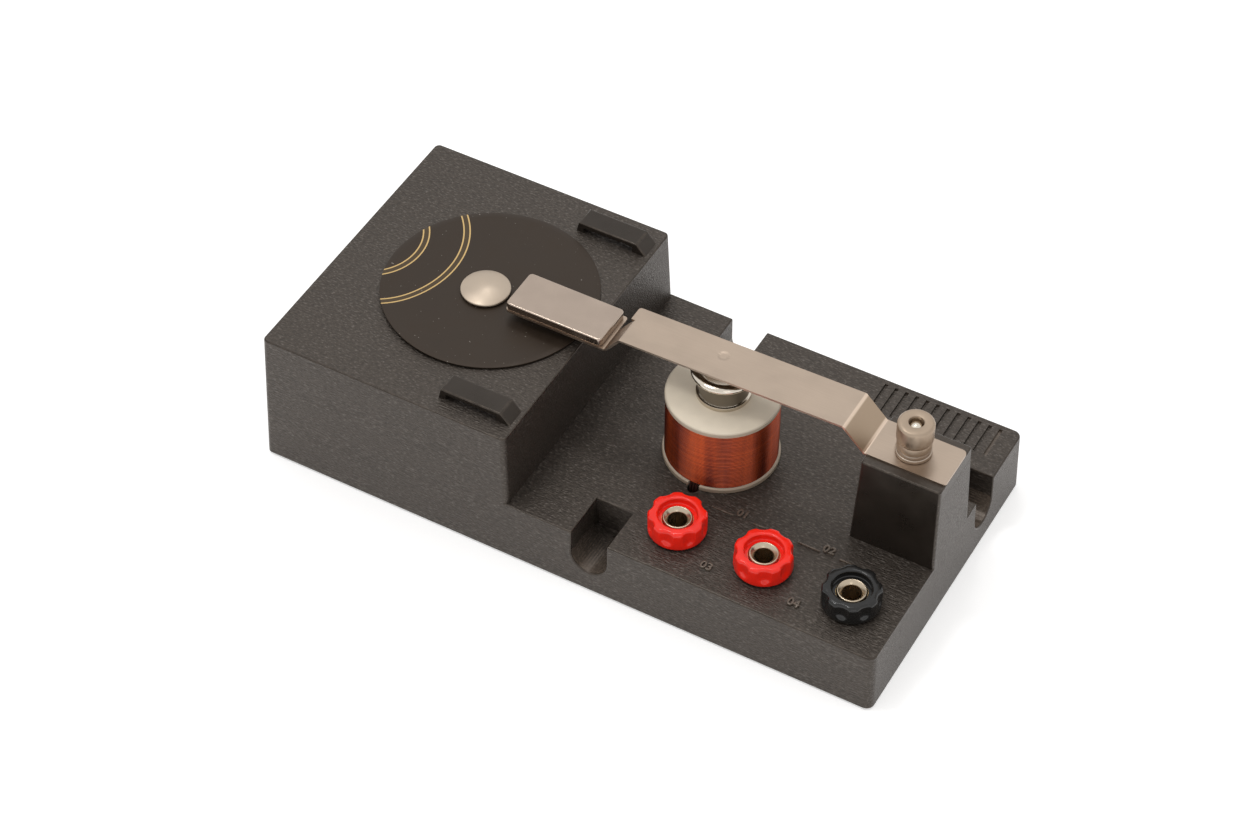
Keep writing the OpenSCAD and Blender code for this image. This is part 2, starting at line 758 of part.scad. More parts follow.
// a side view, made a band of the reed from y0 to y1
module reed_band(y0, y1) {
    translate([0, y1, 0]) rotate([90, 0, 0]) linear_extrude(y1 - y0) children();
}

// the riser and the arm from the side, with the arm's end at x
module arm_side(x) {
    polygon([
        [lower_bend_x, reed_foot_z], [upper_bend_x, upper_bend_z], [x, arm_z(x)],
        [x, arm_z(x) - reed_t],
        [upper_bend_x + mitre(riser_angle + arm_slope), upper_bend_z - reed_t],
        [lower_bend_x - mitre(riser_angle), pillar_z], [lower_bend_x, pillar_z]
    ]);
}

// the neck from the side, run a little into the arm and the paddle
module neck_side() {
    into = 0.4;
    polygon([
        [neck_x + into, arm_z(neck_x + into)], [neck_x, arm_z(neck_x)],
        [paddle_x, paddle_z], [paddle_x - into, paddle_z], [paddle_x - into, paddle_under_z],
        [paddle_x + mitre(neck_angle), paddle_under_z],
        [neck_x + mitre(neck_angle - arm_slope), arm_z(neck_x) - reed_t],
        [neck_x + into, arm_z(neck_x + into) - reed_t]
    ]);
}

module reed_arm() {
    front = -reed_w / 2;
    color(steel) difference() {
        union() {
            reed_band(front, front + neck_w) arm_side(neck_x);
            reed_band(front + neck_w, reed_w / 2) arm_side(shoulder_x);
            reed_band(front, front + neck_w) neck_side();
            translate([paddle_x, reed_w / 2, paddle_under_z]) rotate([0, 0, 180])
                linear_extrude(reed_t) rounded_strip(paddle_l, reed_w);
        }
        translate([tape_x, 0, paddle_under_z - 1]) cylinder(r = point_r, h = reed_t + 2);
    }
}

// a bar's end, l wide and t high, with chamfered edges
module chamfered(l, t, c) {
    polygon([[0, c], [0, t - c], [c, t], [l - c, t], [l, t - c], [l, c], [l - c, 0], [c, 0]]);
}

module reed_magnet() {
    r = magnet_r;
    t = magnet_t;
    c = magnet_c;
    color(steel) translate([magnet_x, -magnet_w / 2, paddle_z]) {
        translate([r, 0, 0]) rotate([90, 0, 90]) linear_extrude(magnet_l - 2 * r)
            chamfered(magnet_w, t, c);
        translate([0, magnet_w - r, 0]) rotate([90, 0, 0]) linear_extrude(magnet_w - 2 * r)
            chamfered(magnet_l, t, c);
        for (x = [r, magnet_l - r], y = [r, magnet_w - r]) translate([x, y, 0])
            rotate_extrude() polygon([[0, 0], [r - c, 0], [r, c], [r, t - c], [r - c, t], [0, t]]);
    }
}

module striker_point() {
    flange_t = 0.4;
    color(steel) translate([tape_x, 0, paddle_under_z]) {
        cylinder(r = point_r - slack, h = reed_t - slack);
        translate([0, 0, -flange_t]) cylinder(r = point_flange_r, h = flange_t);
        translate([0, 0, -point_l + point_r]) cylinder(r = point_r, h = point_l - point_r);
        translate([0, 0, -point_l + point_r]) sphere(point_r);
    }
}

// ---- the reed clamp ----

module clamp_stud() {
    color(steel) translate([stud_x, 0, stud_z]) {
        cylinder(r = stud_r, h = stud_top_z - stud_z - 0.3);
        translate([0, 0, stud_top_z - stud_z - 0.3]) cylinder(r1 = stud_r, r2 = stud_r - 0.3, h = 0.3);
    }
}

module stud_insert() {
    color(brass) translate([stud_x, 0, insert_z + slack]) difference() {
        cylinder(r = insert_r - slack, h = insert_l - 2 * slack);
        translate([0, 0, 0.5 - slack]) cylinder(r = stud_r + slack, h = insert_l);
    }
}

module clamp_washer() {
    color(steel) translate([stud_x, 0, washer_z + slack]) tube(washer_r, stud_r + slack, washer_t - slack);
}

module lock_washer() {
    color(steel) translate([stud_x, 0, lock_z + slack]) difference() {
        tube(lock_r, stud_r + slack, lock_t - slack);
        // the slanting split
        translate([0, 0, lock_t / 2]) rotate([0, 35, -60]) translate([-split_w / 2, 0, -lock_t * 2])
            cube([split_w, lock_r + 1, lock_t * 4]);
    }
}

module thumb_nut() {
    edge = 0.3;
    bore = stud_r + slack;
    color(steel) translate([stud_x, 0, nut_z]) rotate_extrude() polygon(concat(
        [[bore, 0], [nut_foot_r - edge, 0], [nut_foot_r, edge], [nut_foot_r, nut_foot_h - edge],
            [nut_foot_r - edge, nut_foot_h], [nut_r - edge, nut_foot_h + edge]],
        arc([nut_r - nut_round, nut_h - nut_round], nut_round, 0, 90),
        [[bore + edge, nut_h], [bore, nut_h - edge]]));
}

// ---- the carbon disc ----

module carbon_disc() {
    color([0.2, 0.18, 0.17]) translate([disc_x, 0, disc_z]) difference() {
        translate([disc_off_x, disc_off_y, 0]) cylinder(r = disc_r, h = disc_t);
        translate([0, 0, -1]) cylinder(r = pin_r + gap, h = disc_t + 2);
    }
}

module disc_pin() {
    // the dome is a cap of a sphere whose edge is the head's rim
    ball_r = (pin_head_r * pin_head_r + pin_dome_h * pin_dome_h) / (2 * pin_dome_h);
    dome = asin(pin_head_r / ball_r);
    steps = 12;
    color(steel) translate([disc_x, 0, pin_z]) rotate_extrude() polygon(concat(
        [[0, -pin_l - pin_z + block_z + 1.4], [0.2, -pin_l - pin_z + block_z + 1.4],
            [pin_r, -pin_l - pin_z + block_z + 2.4], [pin_r, 0], [pin_head_r, 0]],
        [for (i = [0 : steps]) let (a = dome * (1 - i / steps))
            [ball_r * sin(a), pin_rim_h + pin_dome_h - ball_r * (1 - cos(a))]]));
}

// ---- the sockets ----

module socket_stem(i) {
    color(brass) translate([socket_x(i), socket_y, 0]) difference() {
        union() {
            translate([0, 0, stem_z]) cylinder(r = stem_r, h = stem_top_z - stem_z - 0.3);
            translate([0, 0, stem_top_z - 0.3]) cylinder(r1 = stem_r, r2 = stem_r - 0.3, h = 0.3);
            translate([0, 0, stem_flange_z]) cylinder(r = stem_flange_r, h = stem_flange_t);
        }
        translate([0, 0, stem_top_z - bore_l]) cylinder(r = bore_r, h = bore_l + 1);
        translate([0, 0, stem_top_z - mouth_t])
            cylinder(r1 = bore_r, r2 = mouth_r, h = mouth_t + eps);
    }
}

module socket_cap(i) {
    z0 = deck_z + cap_lift;
    z1 = deck_z + cap_h;
    seat_z = ring_top_z + slack;
    edge = 0.7;
    foot_edge = 0.3;
    mouth_edge = 0.2;
    // how far a ball at a scallop's end reaches below its own middle, on the cap's side
    ball_drop = sqrt(pow(scallop_r, 2) - pow(scallop_r - scallop_t, 2));
    color(cap_colours[i]) translate([socket_x(i), socket_y, 0]) difference() {
        rotate_extrude() polygon(concat(
            [[skirt_r, z0], [cap_r - foot_edge, z0], [cap_r, z0 + foot_edge]],
            arc([cap_r - edge, z1 - edge], edge, 0, 90),
            [[cap_mouth_r + mouth_edge, z1], [cap_mouth_r, z1 - mouth_edge],
                [cap_mouth_r, seat_z], [ring_r + slack, seat_z],
                [ring_r + slack, ring_z - slack], [skirt_r, ring_z - slack]]));
        for (k = [0 : scallop_n - 1])
            rotate([0, 0, first_scallop + (k + cap_turned[i]) * 360 / scallop_n])
                translate([cap_r - scallop_t + scallop_r, 0, z0 + scallop_foot + ball_drop]) {
                    cylinder(r = scallop_r, h = cap_h);
                    sphere(scallop_r);
                }
    }
}

module cap_ring(i) {
    color(brass) translate([socket_x(i), socket_y, ring_z])
        tube(ring_r, stem_r + slack, ring_top_z - ring_z);
}

module socket_stem_1() { socket_stem(0); }
module socket_stem_2() { socket_stem(1); }
module socket_stem_3() { socket_stem(2); }
module socket_cap_1() { socket_cap(0); }
module socket_cap_2() { socket_cap(1); }
module socket_cap_3() { socket_cap(2); }
module cap_ring_1() { cap_ring(0); }
module cap_ring_2() { cap_ring(1); }
module cap_ring_3() { cap_ring(2); }

module socket_bushes() {
    color("black") for (i = [0 : 2]) translate([socket_x(i), socket_y, deck_z]) difference() {
        union() {
            cylinder(r = bush_flange_r, h = bush_flange_t);
            translate([0, 0, -skin]) cylinder(r = bush_spigot_r, h = skin + 0.1);
        }
        translate([0, 0, -skin - 1]) cylinder(r = stem_r + gap, h = skin + bush_flange_t + 2);
    }
}

module socket_nuts() {
    color(brass) for (i = [0 : 2]) translate([socket_x(i), socket_y, socket_nut_z])
        hex_nut(nut_af, socket_nut_h, stem_r + slack);
}

module solder_tags() {
    color(steel) for (i = [0 : 2]) translate([socket_x(i), socket_y, tag_z]) difference() {
        union() {
            cylinder(r = nut_af / 2, h = tag_t);
            translate([-tag_w / 2, 0, 0]) cube([tag_w, tag_l, tag_t]);
        }
        translate([0, 0, -1]) cylinder(r = stem_r + gap, h = tag_t + 2);
    }
}

base_housing();
base_cover();
cover_screws();
rubber_feet();
coil_bobbin();
coil_winding();
pole_core();
core_washer();
core_nut();
start_lead();
tap_lead();
finish_lead();
reed_foot();
reed_arm();
reed_magnet();
striker_point();
clamp_stud();
stud_insert();
clamp_washer();
lock_washer();
thumb_nut();
carbon_disc();
disc_pin();
socket_stem_1();
socket_stem_2();
socket_stem_3();
socket_cap_1();
socket_cap_2();
socket_cap_3();
cap_ring_1();
cap_ring_2();
cap_ring_3();
socket_bushes();
socket_nuts();
solder_tags();
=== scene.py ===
import json
import math
from contextlib import contextmanager
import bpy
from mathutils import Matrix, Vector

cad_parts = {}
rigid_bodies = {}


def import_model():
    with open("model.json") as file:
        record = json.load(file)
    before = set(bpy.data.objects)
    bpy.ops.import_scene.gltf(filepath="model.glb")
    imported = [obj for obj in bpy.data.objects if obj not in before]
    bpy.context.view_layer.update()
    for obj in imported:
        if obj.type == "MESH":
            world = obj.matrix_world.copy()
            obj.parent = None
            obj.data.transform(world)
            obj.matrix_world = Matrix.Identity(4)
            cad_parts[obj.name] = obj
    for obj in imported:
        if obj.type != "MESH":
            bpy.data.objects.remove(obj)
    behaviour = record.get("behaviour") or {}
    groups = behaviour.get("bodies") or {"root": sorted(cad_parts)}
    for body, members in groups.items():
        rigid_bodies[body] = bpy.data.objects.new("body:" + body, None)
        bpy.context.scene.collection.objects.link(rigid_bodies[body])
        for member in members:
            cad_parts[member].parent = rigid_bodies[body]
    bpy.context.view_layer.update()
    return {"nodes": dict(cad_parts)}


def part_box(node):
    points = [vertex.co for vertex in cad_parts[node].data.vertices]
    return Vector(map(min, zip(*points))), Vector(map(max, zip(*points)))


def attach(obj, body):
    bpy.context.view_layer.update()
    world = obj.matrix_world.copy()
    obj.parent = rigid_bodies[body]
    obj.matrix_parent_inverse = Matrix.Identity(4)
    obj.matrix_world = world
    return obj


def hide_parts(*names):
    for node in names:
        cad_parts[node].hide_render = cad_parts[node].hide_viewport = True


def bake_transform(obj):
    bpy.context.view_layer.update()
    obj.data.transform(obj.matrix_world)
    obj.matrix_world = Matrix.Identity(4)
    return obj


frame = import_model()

from types import SimpleNamespace

import bmesh
import bpy
from bpy.props import FloatProperty, FloatVectorProperty, IntProperty, PointerProperty
from mathutils import Vector

bl_info = {
    "name": "Ticker timer",
    "version": (1, 0, 0),
    "blender": (4, 5, 0),
    "location": "3D View > Sidebar > Ticker",
    "description": "Models and finishes a school ticker timer, piece by piece",
    "category": "Object",
}

MM = 0.001
SOCKETS = (1, 2, 3)
# Warm tint of the sheen on the dark plastics and the carbon paper
WARM = (1.0, 0.87, 0.76, 1.0)
# Rounded edge of the raised numbers and ridges
RELIEF_EDGE = 0.07 * MM
# Steps in each bend of the reed
BEND_STEPS = 5


# ---- sizes and colours that a user would change ----

def length(name, description, millimetres):
    """A length that the sidebar shows, with its default given in millimetres."""
    return FloatProperty(
        name=name, description=description, default=millimetres * MM, min=0,
        precision=5, unit="LENGTH")


def colour(name, description, red, green, blue):
    """A colour that the sidebar shows, as linear red, green and blue."""
    return FloatVectorProperty(
        name=name, description=description, subtype="COLOR", min=0, max=1,
        default=(red, green, blue))


class TickerHousingSettings(bpy.types.PropertyGroup):
    edge_round: length("Edge round", "Round of the moulding's outer edges", 0.32)
    grain: length("Grain", "Size of the spark grain on the plastic", 0.32)
    streak: length("Streak", "Length of the faint streaks along the plastic", 5)
    plastic: colour("Plastic", "Charcoal of the moulding", 0.0275, 0.0212, 0.0165)
    number_height: length("Number height", "Height of the raised numbers", 2.7)
    number_relief: length("Number relief", "How far numbers and ridges stand up", 0.42)
    ridge_width: length("Ridge width", "Width of the ridges between the sockets", 0.34)
    rubber: colour("Rubber", "Black of the feet", 0.018, 0.018, 0.018)


class TickerCoilSettings(bpy.types.PropertyGroup):
    wire_turns: IntProperty(
        name="Turns in view", description="Turns of wire in the outer layer", default=38, min=4)
    flange_round: length("Flange round", "Round of the bobbin's edges", 0.22)
    nylon: colour("Bobbin", "Cream of the bobbin", 0.76, 0.665, 0.53)
    # Partly the nylon's brown tint at thin rims, partly painted shade on the side-lit rims
    nylon_rim_tint_and_shade: colour("Bobbin edge", "Brown tint at the flanges' rims", 0.20, 0.145, 0.095)
    enamel: colour("Enamel", "Red brown of the enamelled wire", 0.16, 0.022, 0.009)
    # Painted highlight: the orange that the wire is lightened to along bands and turns
    enamel_painted_highlight: colour("Light enamel", "Orange of the wire where it is bright", 0.62, 0.10, 0.02)
    steel: colour("Core steel", "Bright turned steel of the core", 0.62, 0.56, 0.48)


class TickerReedSettings(bpy.types.PropertyGroup):
    thickness: length("Thickness", "Thickness of the spring steel", 0.5)
    riser: length("Riser", "Length of the riser, along the housing", 5)
    slope: FloatProperty(
        name="Slope", description="Slope of the arm down to the tape", subtype="ANGLE",
        default=math.radians(1.35))
    arm_end: length("Arm end", "From the paddle's free end to the arm's end", 26.5)
    neck_width: length("Neck width", "Width of the neck, from the front edge", 6.8)
    neck_back: length("Neck back", "From the arm's end back to the neck's bend", 0.8)
    neck: length("Neck", "Length of the neck, which drops to the paddle", 3.4)
    bend: length("Bend", "Radius of the bends", 0.6)
    corner: length("Corner", "Radius of the corners", 1.1)
    edge: length("Edge", "Round of the blanked edges", 0.13)
    dimple: length("Dimple", "Radius of the dimple over the core", 1.25)
    dimple_from_coil: length("Dimple place", "From the coil's middle to the dimple", 0.8)
    dimple_back: length("Dimple back", "From the centreline back to the dimple", 1)
    steel: colour("Reed steel", "Warm satin spring steel", 0.425, 0.34, 0.27)
    magnet: colour("Magnet plate", "Nickel plate of the magnet", 0.425, 0.345, 0.285)
    magnet_edge: length("Magnet edge", "Round of the magnet's edges", 0.34)
    magnet_inset: length("Magnet inset", "How far the magnet stays inside the paddle", 0.1)


class TickerClampSettings(bpy.types.PropertyGroup):
    nut_round: length("Nut round", "Round of the nut's top edge", 0.7)
    nut: colour("Nut plate", "Satin nickel of the nut", 0.39, 0.305, 0.23)
    washer: colour("Washer plate", "Nickel of the washers", 0.42, 0.345, 0.28)


class TickerDiscSettings(bpy.types.PropertyGroup):
    curl: length("Curl", "How far the disc's edge curls up", 0.45)
    paper: colour("Carbon paper", "Waxy dark brown of the disc", 0.021, 0.0135, 0.0085)
    gold: colour("Print", "Gold of the printed arcs", 0.62, 0.42, 0.17)
    pin: colour("Pin plate", "Nickel of the drawing pin", 0.50, 0.415, 0.33)


class TickerSocketSettings(bpy.types.PropertyGroup):
    scallops: IntProperty(name="Scallops", description="Scallops round a cap", default=8, min=3)
    scallop: length("Scallop", "Radius of a scallop", 2.6)
    scallop_depth: length("Scallop depth", "Depth of a scallop", 0.62)
    red: colour("Red caps", "Glossy red plastic", 0.93, 0.019, 0.008)
    black: colour("Black cap", "Glossy black plastic", 0.011, 0.0105, 0.010)
    stem: colour("Stem plate", "Warm nickel of the stems", 0.50, 0.415, 0.31)
    brass: colour("Brass", "Brass of the hidden rings, nuts and insert", 0.60, 0.42, 0.19)


class TickerStageSettings(bpy.types.PropertyGroup):
    camera_place: FloatVectorProperty(
        name="Camera place", description="Where the camera stands", subtype="TRANSLATION",
        default=(0.22656, -0.42010, 0.52320), precision=5)
    camera_turn: FloatVectorProperty(
        name="Camera turn", description="How the camera is turned", subtype="EULER",
        default=[math.radians(angle) for angle in (43.3155, -0.3678, 29.1876)])
    lens: FloatProperty(name="Lens", description="Focal length", default=94.8, unit="CAMERA")
    zenith: FloatProperty(name="Zenith", description="Strength of the light overhead", default=1.1)
    horizon: FloatProperty(
        name="Horizon", description="Strength of the light low down", default=0.42)
    lamp: FloatProperty(
        name="Lamp", description="Power of the soft lamp overhead", default=1.2, unit="POWER")
    back: FloatProperty(
        name="Back", description="Power of the soft lamp above and behind", default=0.5,
        unit="POWER")
    fill: FloatProperty(
        name="Fill", description="Power of the soft lamp in front", default=0.15, unit="POWER")


# ---- modelling helpers ----

def box(node):
    """A CAD node's corners, middle and size."""
    lo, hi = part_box(node)
    return SimpleNamespace(lo=lo, hi=hi, middle=(lo + hi) / 2, size=hi - lo)


def foot_of(node):
    """The middle of the underside of a CAD node."""
    bounds = box(node)
    return Vector((bounds.middle.x, bounds.middle.y, bounds.lo.z))


def height_mm(node, z):
    """How far z lies above the underside of a CAD node, in millimetres."""
    return (z - box(node).lo.z) / MM


def deselect_all():
    """Deselect every object."""
    bpy.ops.object.select_all(action="DESELECT")


def make_active(piece):
    """Leave edit mode, and make a piece the only one selected."""
    if bpy.context.mode != "OBJECT":
        bpy.ops.object.mode_set(mode="OBJECT")
    deselect_all()
    piece.select_set(True)
    bpy.context.view_layer.objects.active = piece


def settle(name):
    """Name the active object and put its place into its mesh."""
    piece = bpy.context.active_object
    piece.name = name
    piece.data.name = name
    bpy.ops.object.transform_apply(location=True, rotation=True, scale=True)
    return piece


@contextmanager
def editing(piece, mode="VERT"):
    """Edit mode on a piece, with nothing selected."""
    make_active(piece)
    bpy.ops.object.mode_set(mode="EDIT")
    bpy.ops.mesh.select_mode(type=mode)
    bpy.ops.mesh.select_all(action="DESELECT")
    yield
    bpy.ops.object.mode_set(mode="OBJECT")


def pick(kind, test):
    """Select the verts, edges or faces of the edited mesh that pass a test, and nothing else."""
    bpy.ops.mesh.select_all(action="DESELECT")
    data = bpy.context.edit_object.data
    mesh = bmesh.from_edit_mesh(data)
    mesh.normal_update()
    mesh.verts.index_update()
    for part in getattr(mesh, kind):
        if test(part):
            part.select_set(True)
    mesh.select_flush_mode()
    bmesh.update_edit_mesh(data)


def middle_of(part):
    """The middle of an edge or a face."""
    return sum((vertex.co for vertex in part.verts), Vector()) / len(part.verts)


def modify(piece, kind, **values):
    """Add a modifier with these values, and apply it."""
    make_active(piece)
    modifier = piece.modifiers.new(kind.title(), kind)
    for name, value in values.items():
        setattr(modifier, name, value)
    bpy.ops.object.modifier_apply(modifier=modifier.name)


def soften(piece, width, segments=2, angle=32):
    """Round every edge that is sharper than an angle."""
    modify(
        piece, "BEVEL", width=width, segments=segments, limit_method="ANGLE",
        angle_limit=math.radians(angle), use_clamp_overlap=True)


def shade(piece, angle=32, weighted=True):
    """Smooth shading that keeps flat faces flat."""
    make_active(piece)
    bpy.ops.object.shade_smooth_by_angle(angle=math.radians(angle), keep_sharp_edges=False)
    if weighted:
        modify(piece, "WEIGHTED_NORMAL", mode="FACE_AREA", weight=50, keep_sharp=True)


def arc(radius, height, bend, start, end, steps=6):
    """Points of a profile along an arc of radius bend about (radius, height), in millimetres."""
    points = []
    for step in range(steps + 1):
        angle = math.radians(start + (end - start) * step / steps)
        points.append((radius + bend * math.cos(angle), height + bend * math.sin(angle)))
    return points


def turned(name, at, profile, steps=96):
    """Spin a profile of (radius, height) points, in millimetres, about an upright line.

    A profile that starts and ends away from the axis is closed into a ring.
    """
    points = [Vector((at.x + radius * MM, at.y, at.z + height * MM)) for radius, height in profile]
    deselect_all()
    bpy.ops.mesh.primitive_plane_add(size=MM, location=points[0])
    piece = settle(name)
    with editing(piece):
        bpy.ops.mesh.select_all(action="SELECT")
        bpy.ops.mesh.merge(type="CENTER")
        for before, after in zip(points, points[1:]):
            bpy.ops.mesh.extrude_vertices_move(
                TRANSFORM_OT_translate={"value": after - before})
        if profile[0][0] > 0 and profile[-1][0] > 0:
            ends = (0, len(points) - 1)
            pick("verts", lambda vertex: vertex.index in ends)
            bpy.ops.mesh.edge_face_add()
        bpy.ops.mesh.select_all(action="SELECT")
        bpy.ops.mesh.spin(steps=steps, angle=2 * math.pi, center=at, axis=(0, 0, 1))
        bpy.ops.mesh.select_all(action="SELECT")
        bpy.ops.mesh.remove_doubles(threshold=0.002 * MM)
        bpy.ops.mesh.normals_make_consistent(inside=False)
    return piece


def merged_copy(node, name):
    """A copy of a CAD node with its triangles joined into whole faces."""
    piece = bpy.data.objects.new(name, frame["nodes"][node].data.copy())
    piece.data.name = name
    bpy.context.scene.collection.objects.link(piece)
    with editing(piece):
        bpy.ops.mesh.select_all(action="SELECT")
        bpy.ops.mesh.remove_doubles(threshold=0.002 * MM)
        bpy.ops.mesh.dissolve_limited(angle_limit=math.radians(0.3))
    bpy.ops.mesh.customdata_custom_splitnormals_clear()
    return piece


def paint(piece, material):
    """Put one material in the first slot, and leave any other slot as it is."""
    if piece.data.materials:
        piece.data.materials[0] = material
    else:
        piece.data.materials.append(material)


def fit(piece, body, slot, material, *nodes):
    """Give a finished piece its material and its body, and hide the nodes that it stands for. The
    slot is not used.
    """
    paint(piece, material)
    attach(piece, body)
    if nodes:
        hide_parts(*nodes)


# ---- materials ----

class Finish:
    """A material in the making: its Principled shader and the nodes that feed it."""

    def __init__(self, name, base, **values):
        self.material = bpy.data.materials.new(name)
        self.material.use_nodes = True
        self.tree = self.material.node_tree
        self.shader = self.tree.nodes["Principled BSDF"]
        self.base = (*base, 1)
        self.shader.inputs["Base Color"].default_value = self.base
        self.material.diffuse_color = self.base
        for socket, value in values.items():
            self.shader.inputs[socket.replace("_", " ")].default_value = value
        self.where = self.add("TexCoord", {}).outputs["Object"]

    def add(self, kind, inputs, **settings):
        """Add a node, and link or set its inputs."""
        node = self.tree.nodes.new("ShaderNode" + kind)
        for name, value in settings.items():
            setattr(node, name, value)
        for name, value in inputs.items():
            if isinstance(value, bpy.types.NodeSocket):
                self.tree.links.new(value, node.inputs[name])
            else:
                node.inputs[name].default_value = value
        return node

    def feed(self, socket, value):
        """Link a value to one of the shader's sockets."""
        self.tree.links.new(value, self.shader.inputs[socket])

    def cells(self, size, centre=(0, 0, 0)):
        """Object coordinates about a centre, counted in cells of a size."""
        size = (size, size, size) if isinstance(size, (int, float)) else size
        return self.add(
            "Mapping", {"Vector": self.where, "Location": centre, "Scale": size},
            vector_type="TEXTURE").outputs[0]

    def noise(self, size, detail=2.0, centre=(0, 0, 0)):
        """Noise about 0.5 whose blobs have a size."""
        inputs = {"Vector": self.cells(size, centre), "Scale": 1.0, "Detail": detail}
        return self.add("TexNoise", inputs).outputs["Fac"]

    def spread(self, value, low, high, to_low=0.0, to_high=1.0):
        """Map low..high to another range, and stop at its ends."""
        inputs = {"Value": value, "From Min": low, "From Max": high,
                  "To Min": to_low, "To Max": to_high}
        return self.add("MapRange", inputs, clamp=True).outputs[0]

    def compute(self, operation, first, second=0.0, third=None):
        """A math node."""
        inputs = {0: first, 1: second}
        if third is not None:
            inputs[2] = third
        return self.add("Math", inputs, operation=operation).outputs[0]

    def blend(self, factor, first, second):
        """A colour between two."""
        inputs = {0: factor, 6: first, 7: second}
        return self.add("Mix", inputs, data_type="RGBA").outputs[2]

    def distance(self, centre, stretch=(1, 1, 1)):
        """Distance from a centre, in metres. A very large stretch leaves an axis out."""
        flat = self.cells(stretch, centre)
        return self.add("VectorMath", {0: flat}, operation="LENGTH").outputs["Value"]

    def bump(self, height, strength, depth, under=None):
        """Raise the surface by a height field, over another bump where one is given."""
        inputs = {"Height": height, "Strength": strength, "Distance": depth}
        if under is not None:
            inputs["Normal"] = under
        return self.add("Bump", inputs).outputs["Normal"]


def darker(base, share):
    """A colour with its brightness multiplied."""
    return (*(channel * share for channel in base[:3]), 1)


def finish_of(name, make):
    """The material of this name, made the first time that it is asked for."""
    return bpy.data.materials.get(name) or make(name)


def moulded_plastic(name):
    """Charcoal plastic with a spark grain and faint streaks, with painted shade in the grain's
    pits and painted glints on its peaks.
    """
    settings = bpy.context.scene.ticker_housing
    guides = box("carbon_disc").lo.z
    finish = Finish(name, settings.plastic, Roughness=0.44, Specular_IOR_Level=0.62,
                    Specular_Tint=WARM)
    grain = finish.noise((2.6 * settings.grain, settings.grain, settings.grain), 3.0)
    fine = settings.streak * 0.07
    streaks = finish.noise((settings.streak, fine, fine), 2.0)
    cloud = finish.noise(14 * MM, 3.0)
    height = finish.add("SeparateXYZ", {0: finish.where}).outputs["Z"]
    rough = finish.spread(height, guides, guides + 0.2 * MM, 1, 0.25)
    tone = finish.blend(cloud, darker(finish.base, 0.86), darker(finish.base, 1.14))
    tone = finish.blend(finish.spread(streaks, 0.35, 0.75, 0, 0.6), tone, darker(finish.base, 0.4))
    # Painted shade: the base is darkened in the grain's pits
    pits = finish.compute("MULTIPLY", finish.spread(grain, 0.5, 0.36), rough)
    tone = finish.blend(pits, tone, darker(finish.base, 0.25))
    # Painted glints: the base is lightened to pale specks on the grain's peaks
    painted_glint_peaks = finish.compute("MULTIPLY", finish.spread(grain, 0.57, 0.72), rough)
    tone = finish.blend(painted_glint_peaks, tone, (0.10, 0.088, 0.078, 1))
    finish.feed("Base Color", tone)
    finish.feed("Roughness", finish.spread(grain, 0.3, 0.7, 0.50, 0.34))
    relief = finish.compute("MULTIPLY", grain, rough)
    ground = finish.bump(relief, 1.0, 0.17 * MM)
    finish.feed("Normal", finish.bump(streaks, 0.6, 0.12 * MM, ground))
    return finish.material


def polished_plastic(name):
    """The same charcoal where the mould is polished, scuffed in patches, and lightened all over as
    a painted sheen.
    """
    settings = bpy.context.scene.ticker_housing
    finish = Finish(
        name, settings.plastic, Roughness=0.25, Specular_IOR_Level=0.75, Specular_Tint=WARM)
    scuffs_and_painted_sheen = finish.noise(0.9 * MM, 3.0)
    # Painted highlight: the base is lifted to 1.5 to 4.5 times the charcoal, so the raised numbers
    # and the recesses look lit
    finish.feed("Base Color", finish.blend(
        scuffs_and_painted_sheen, darker(finish.base, 1.5), darker(finish.base, 4.5)))
    finish.feed("Roughness", finish.spread(scuffs_and_painted_sheen, 0.3, 0.7, 0.2, 0.34))
    finish.feed("Normal", finish.bump(scuffs_and_painted_sheen, 0.15, 0.04 * MM))
    return finish.material


def smooth_plastic(name):
    """The same charcoal on the smooth guides and pillar, less glossy in patches, with its base
    darkened as painted shade.
    """
    settings = bpy.context.scene.ticker_housing
    finish = Finish(name, settings.plastic, Roughness=0.3, Specular_IOR_Level=0.42,
                    Specular_Tint=WARM)
    cloud = finish.noise(5 * MM, 4.0)
    # Painted shade: the base is darkened to 0.35 to 0.75 of the charcoal
    finish.feed("Base Color", finish.blend(
        cloud, darker(finish.base, 0.35), darker(finish.base, 0.75)))
    finish.feed("Roughness", finish.spread(cloud, 0.3, 0.7, 0.24, 0.38))
    finish.feed("Normal", finish.bump(finish.noise(0.5 * MM, 2.0), 0.12, 0.04 * MM))
    return finish.material


def polished_edge(name):
    """The moulding's rounded edges, smoother than the grained faces, with a painted dark edge line
    and patches of painted highlight along it.
    """
    settings = bpy.context.scene.ticker_housing
    finish = Finish(
        name, darker(settings.plastic, 0.6)[:3], Roughness=0.24, Specular_IOR_Level=0.5,
        Specular_Tint=WARM)
    painted_edge_light = finish.noise(1.2 * MM, 3.0)
    # Painted shade and highlight: the edge is darker than the faces, with patches lightened up to
    # 1.8 times the charcoal
    finish.feed("Base Color", finish.blend(
        finish.spread(painted_edge_light, 0.4, 0.75), finish.base, darker(finish.base, 3.0)))
    finish.feed("Normal", finish.bump(painted_edge_light, 0.2, 0.05 * MM))
    return finish.material


def plain_plastic(name):
    """The cover's plastic: the same charcoal with a finer, even grain."""
    settings = bpy.context.scene.ticker_housing
    finish = Finish(name, settings.plastic, Roughness=0.55)
    grain = finish.noise(0.25 * MM, 2.0)
    cloud = finish.noise(20 * MM, 2.0)
    finish.feed("Base Color", finish.blend(
        cloud, darker(finish.base, 0.75), darker(finish.base, 1.1)))
    finish.feed("Normal", finish.bump(grain, 0.4, 0.04 * MM))
    return finish.material


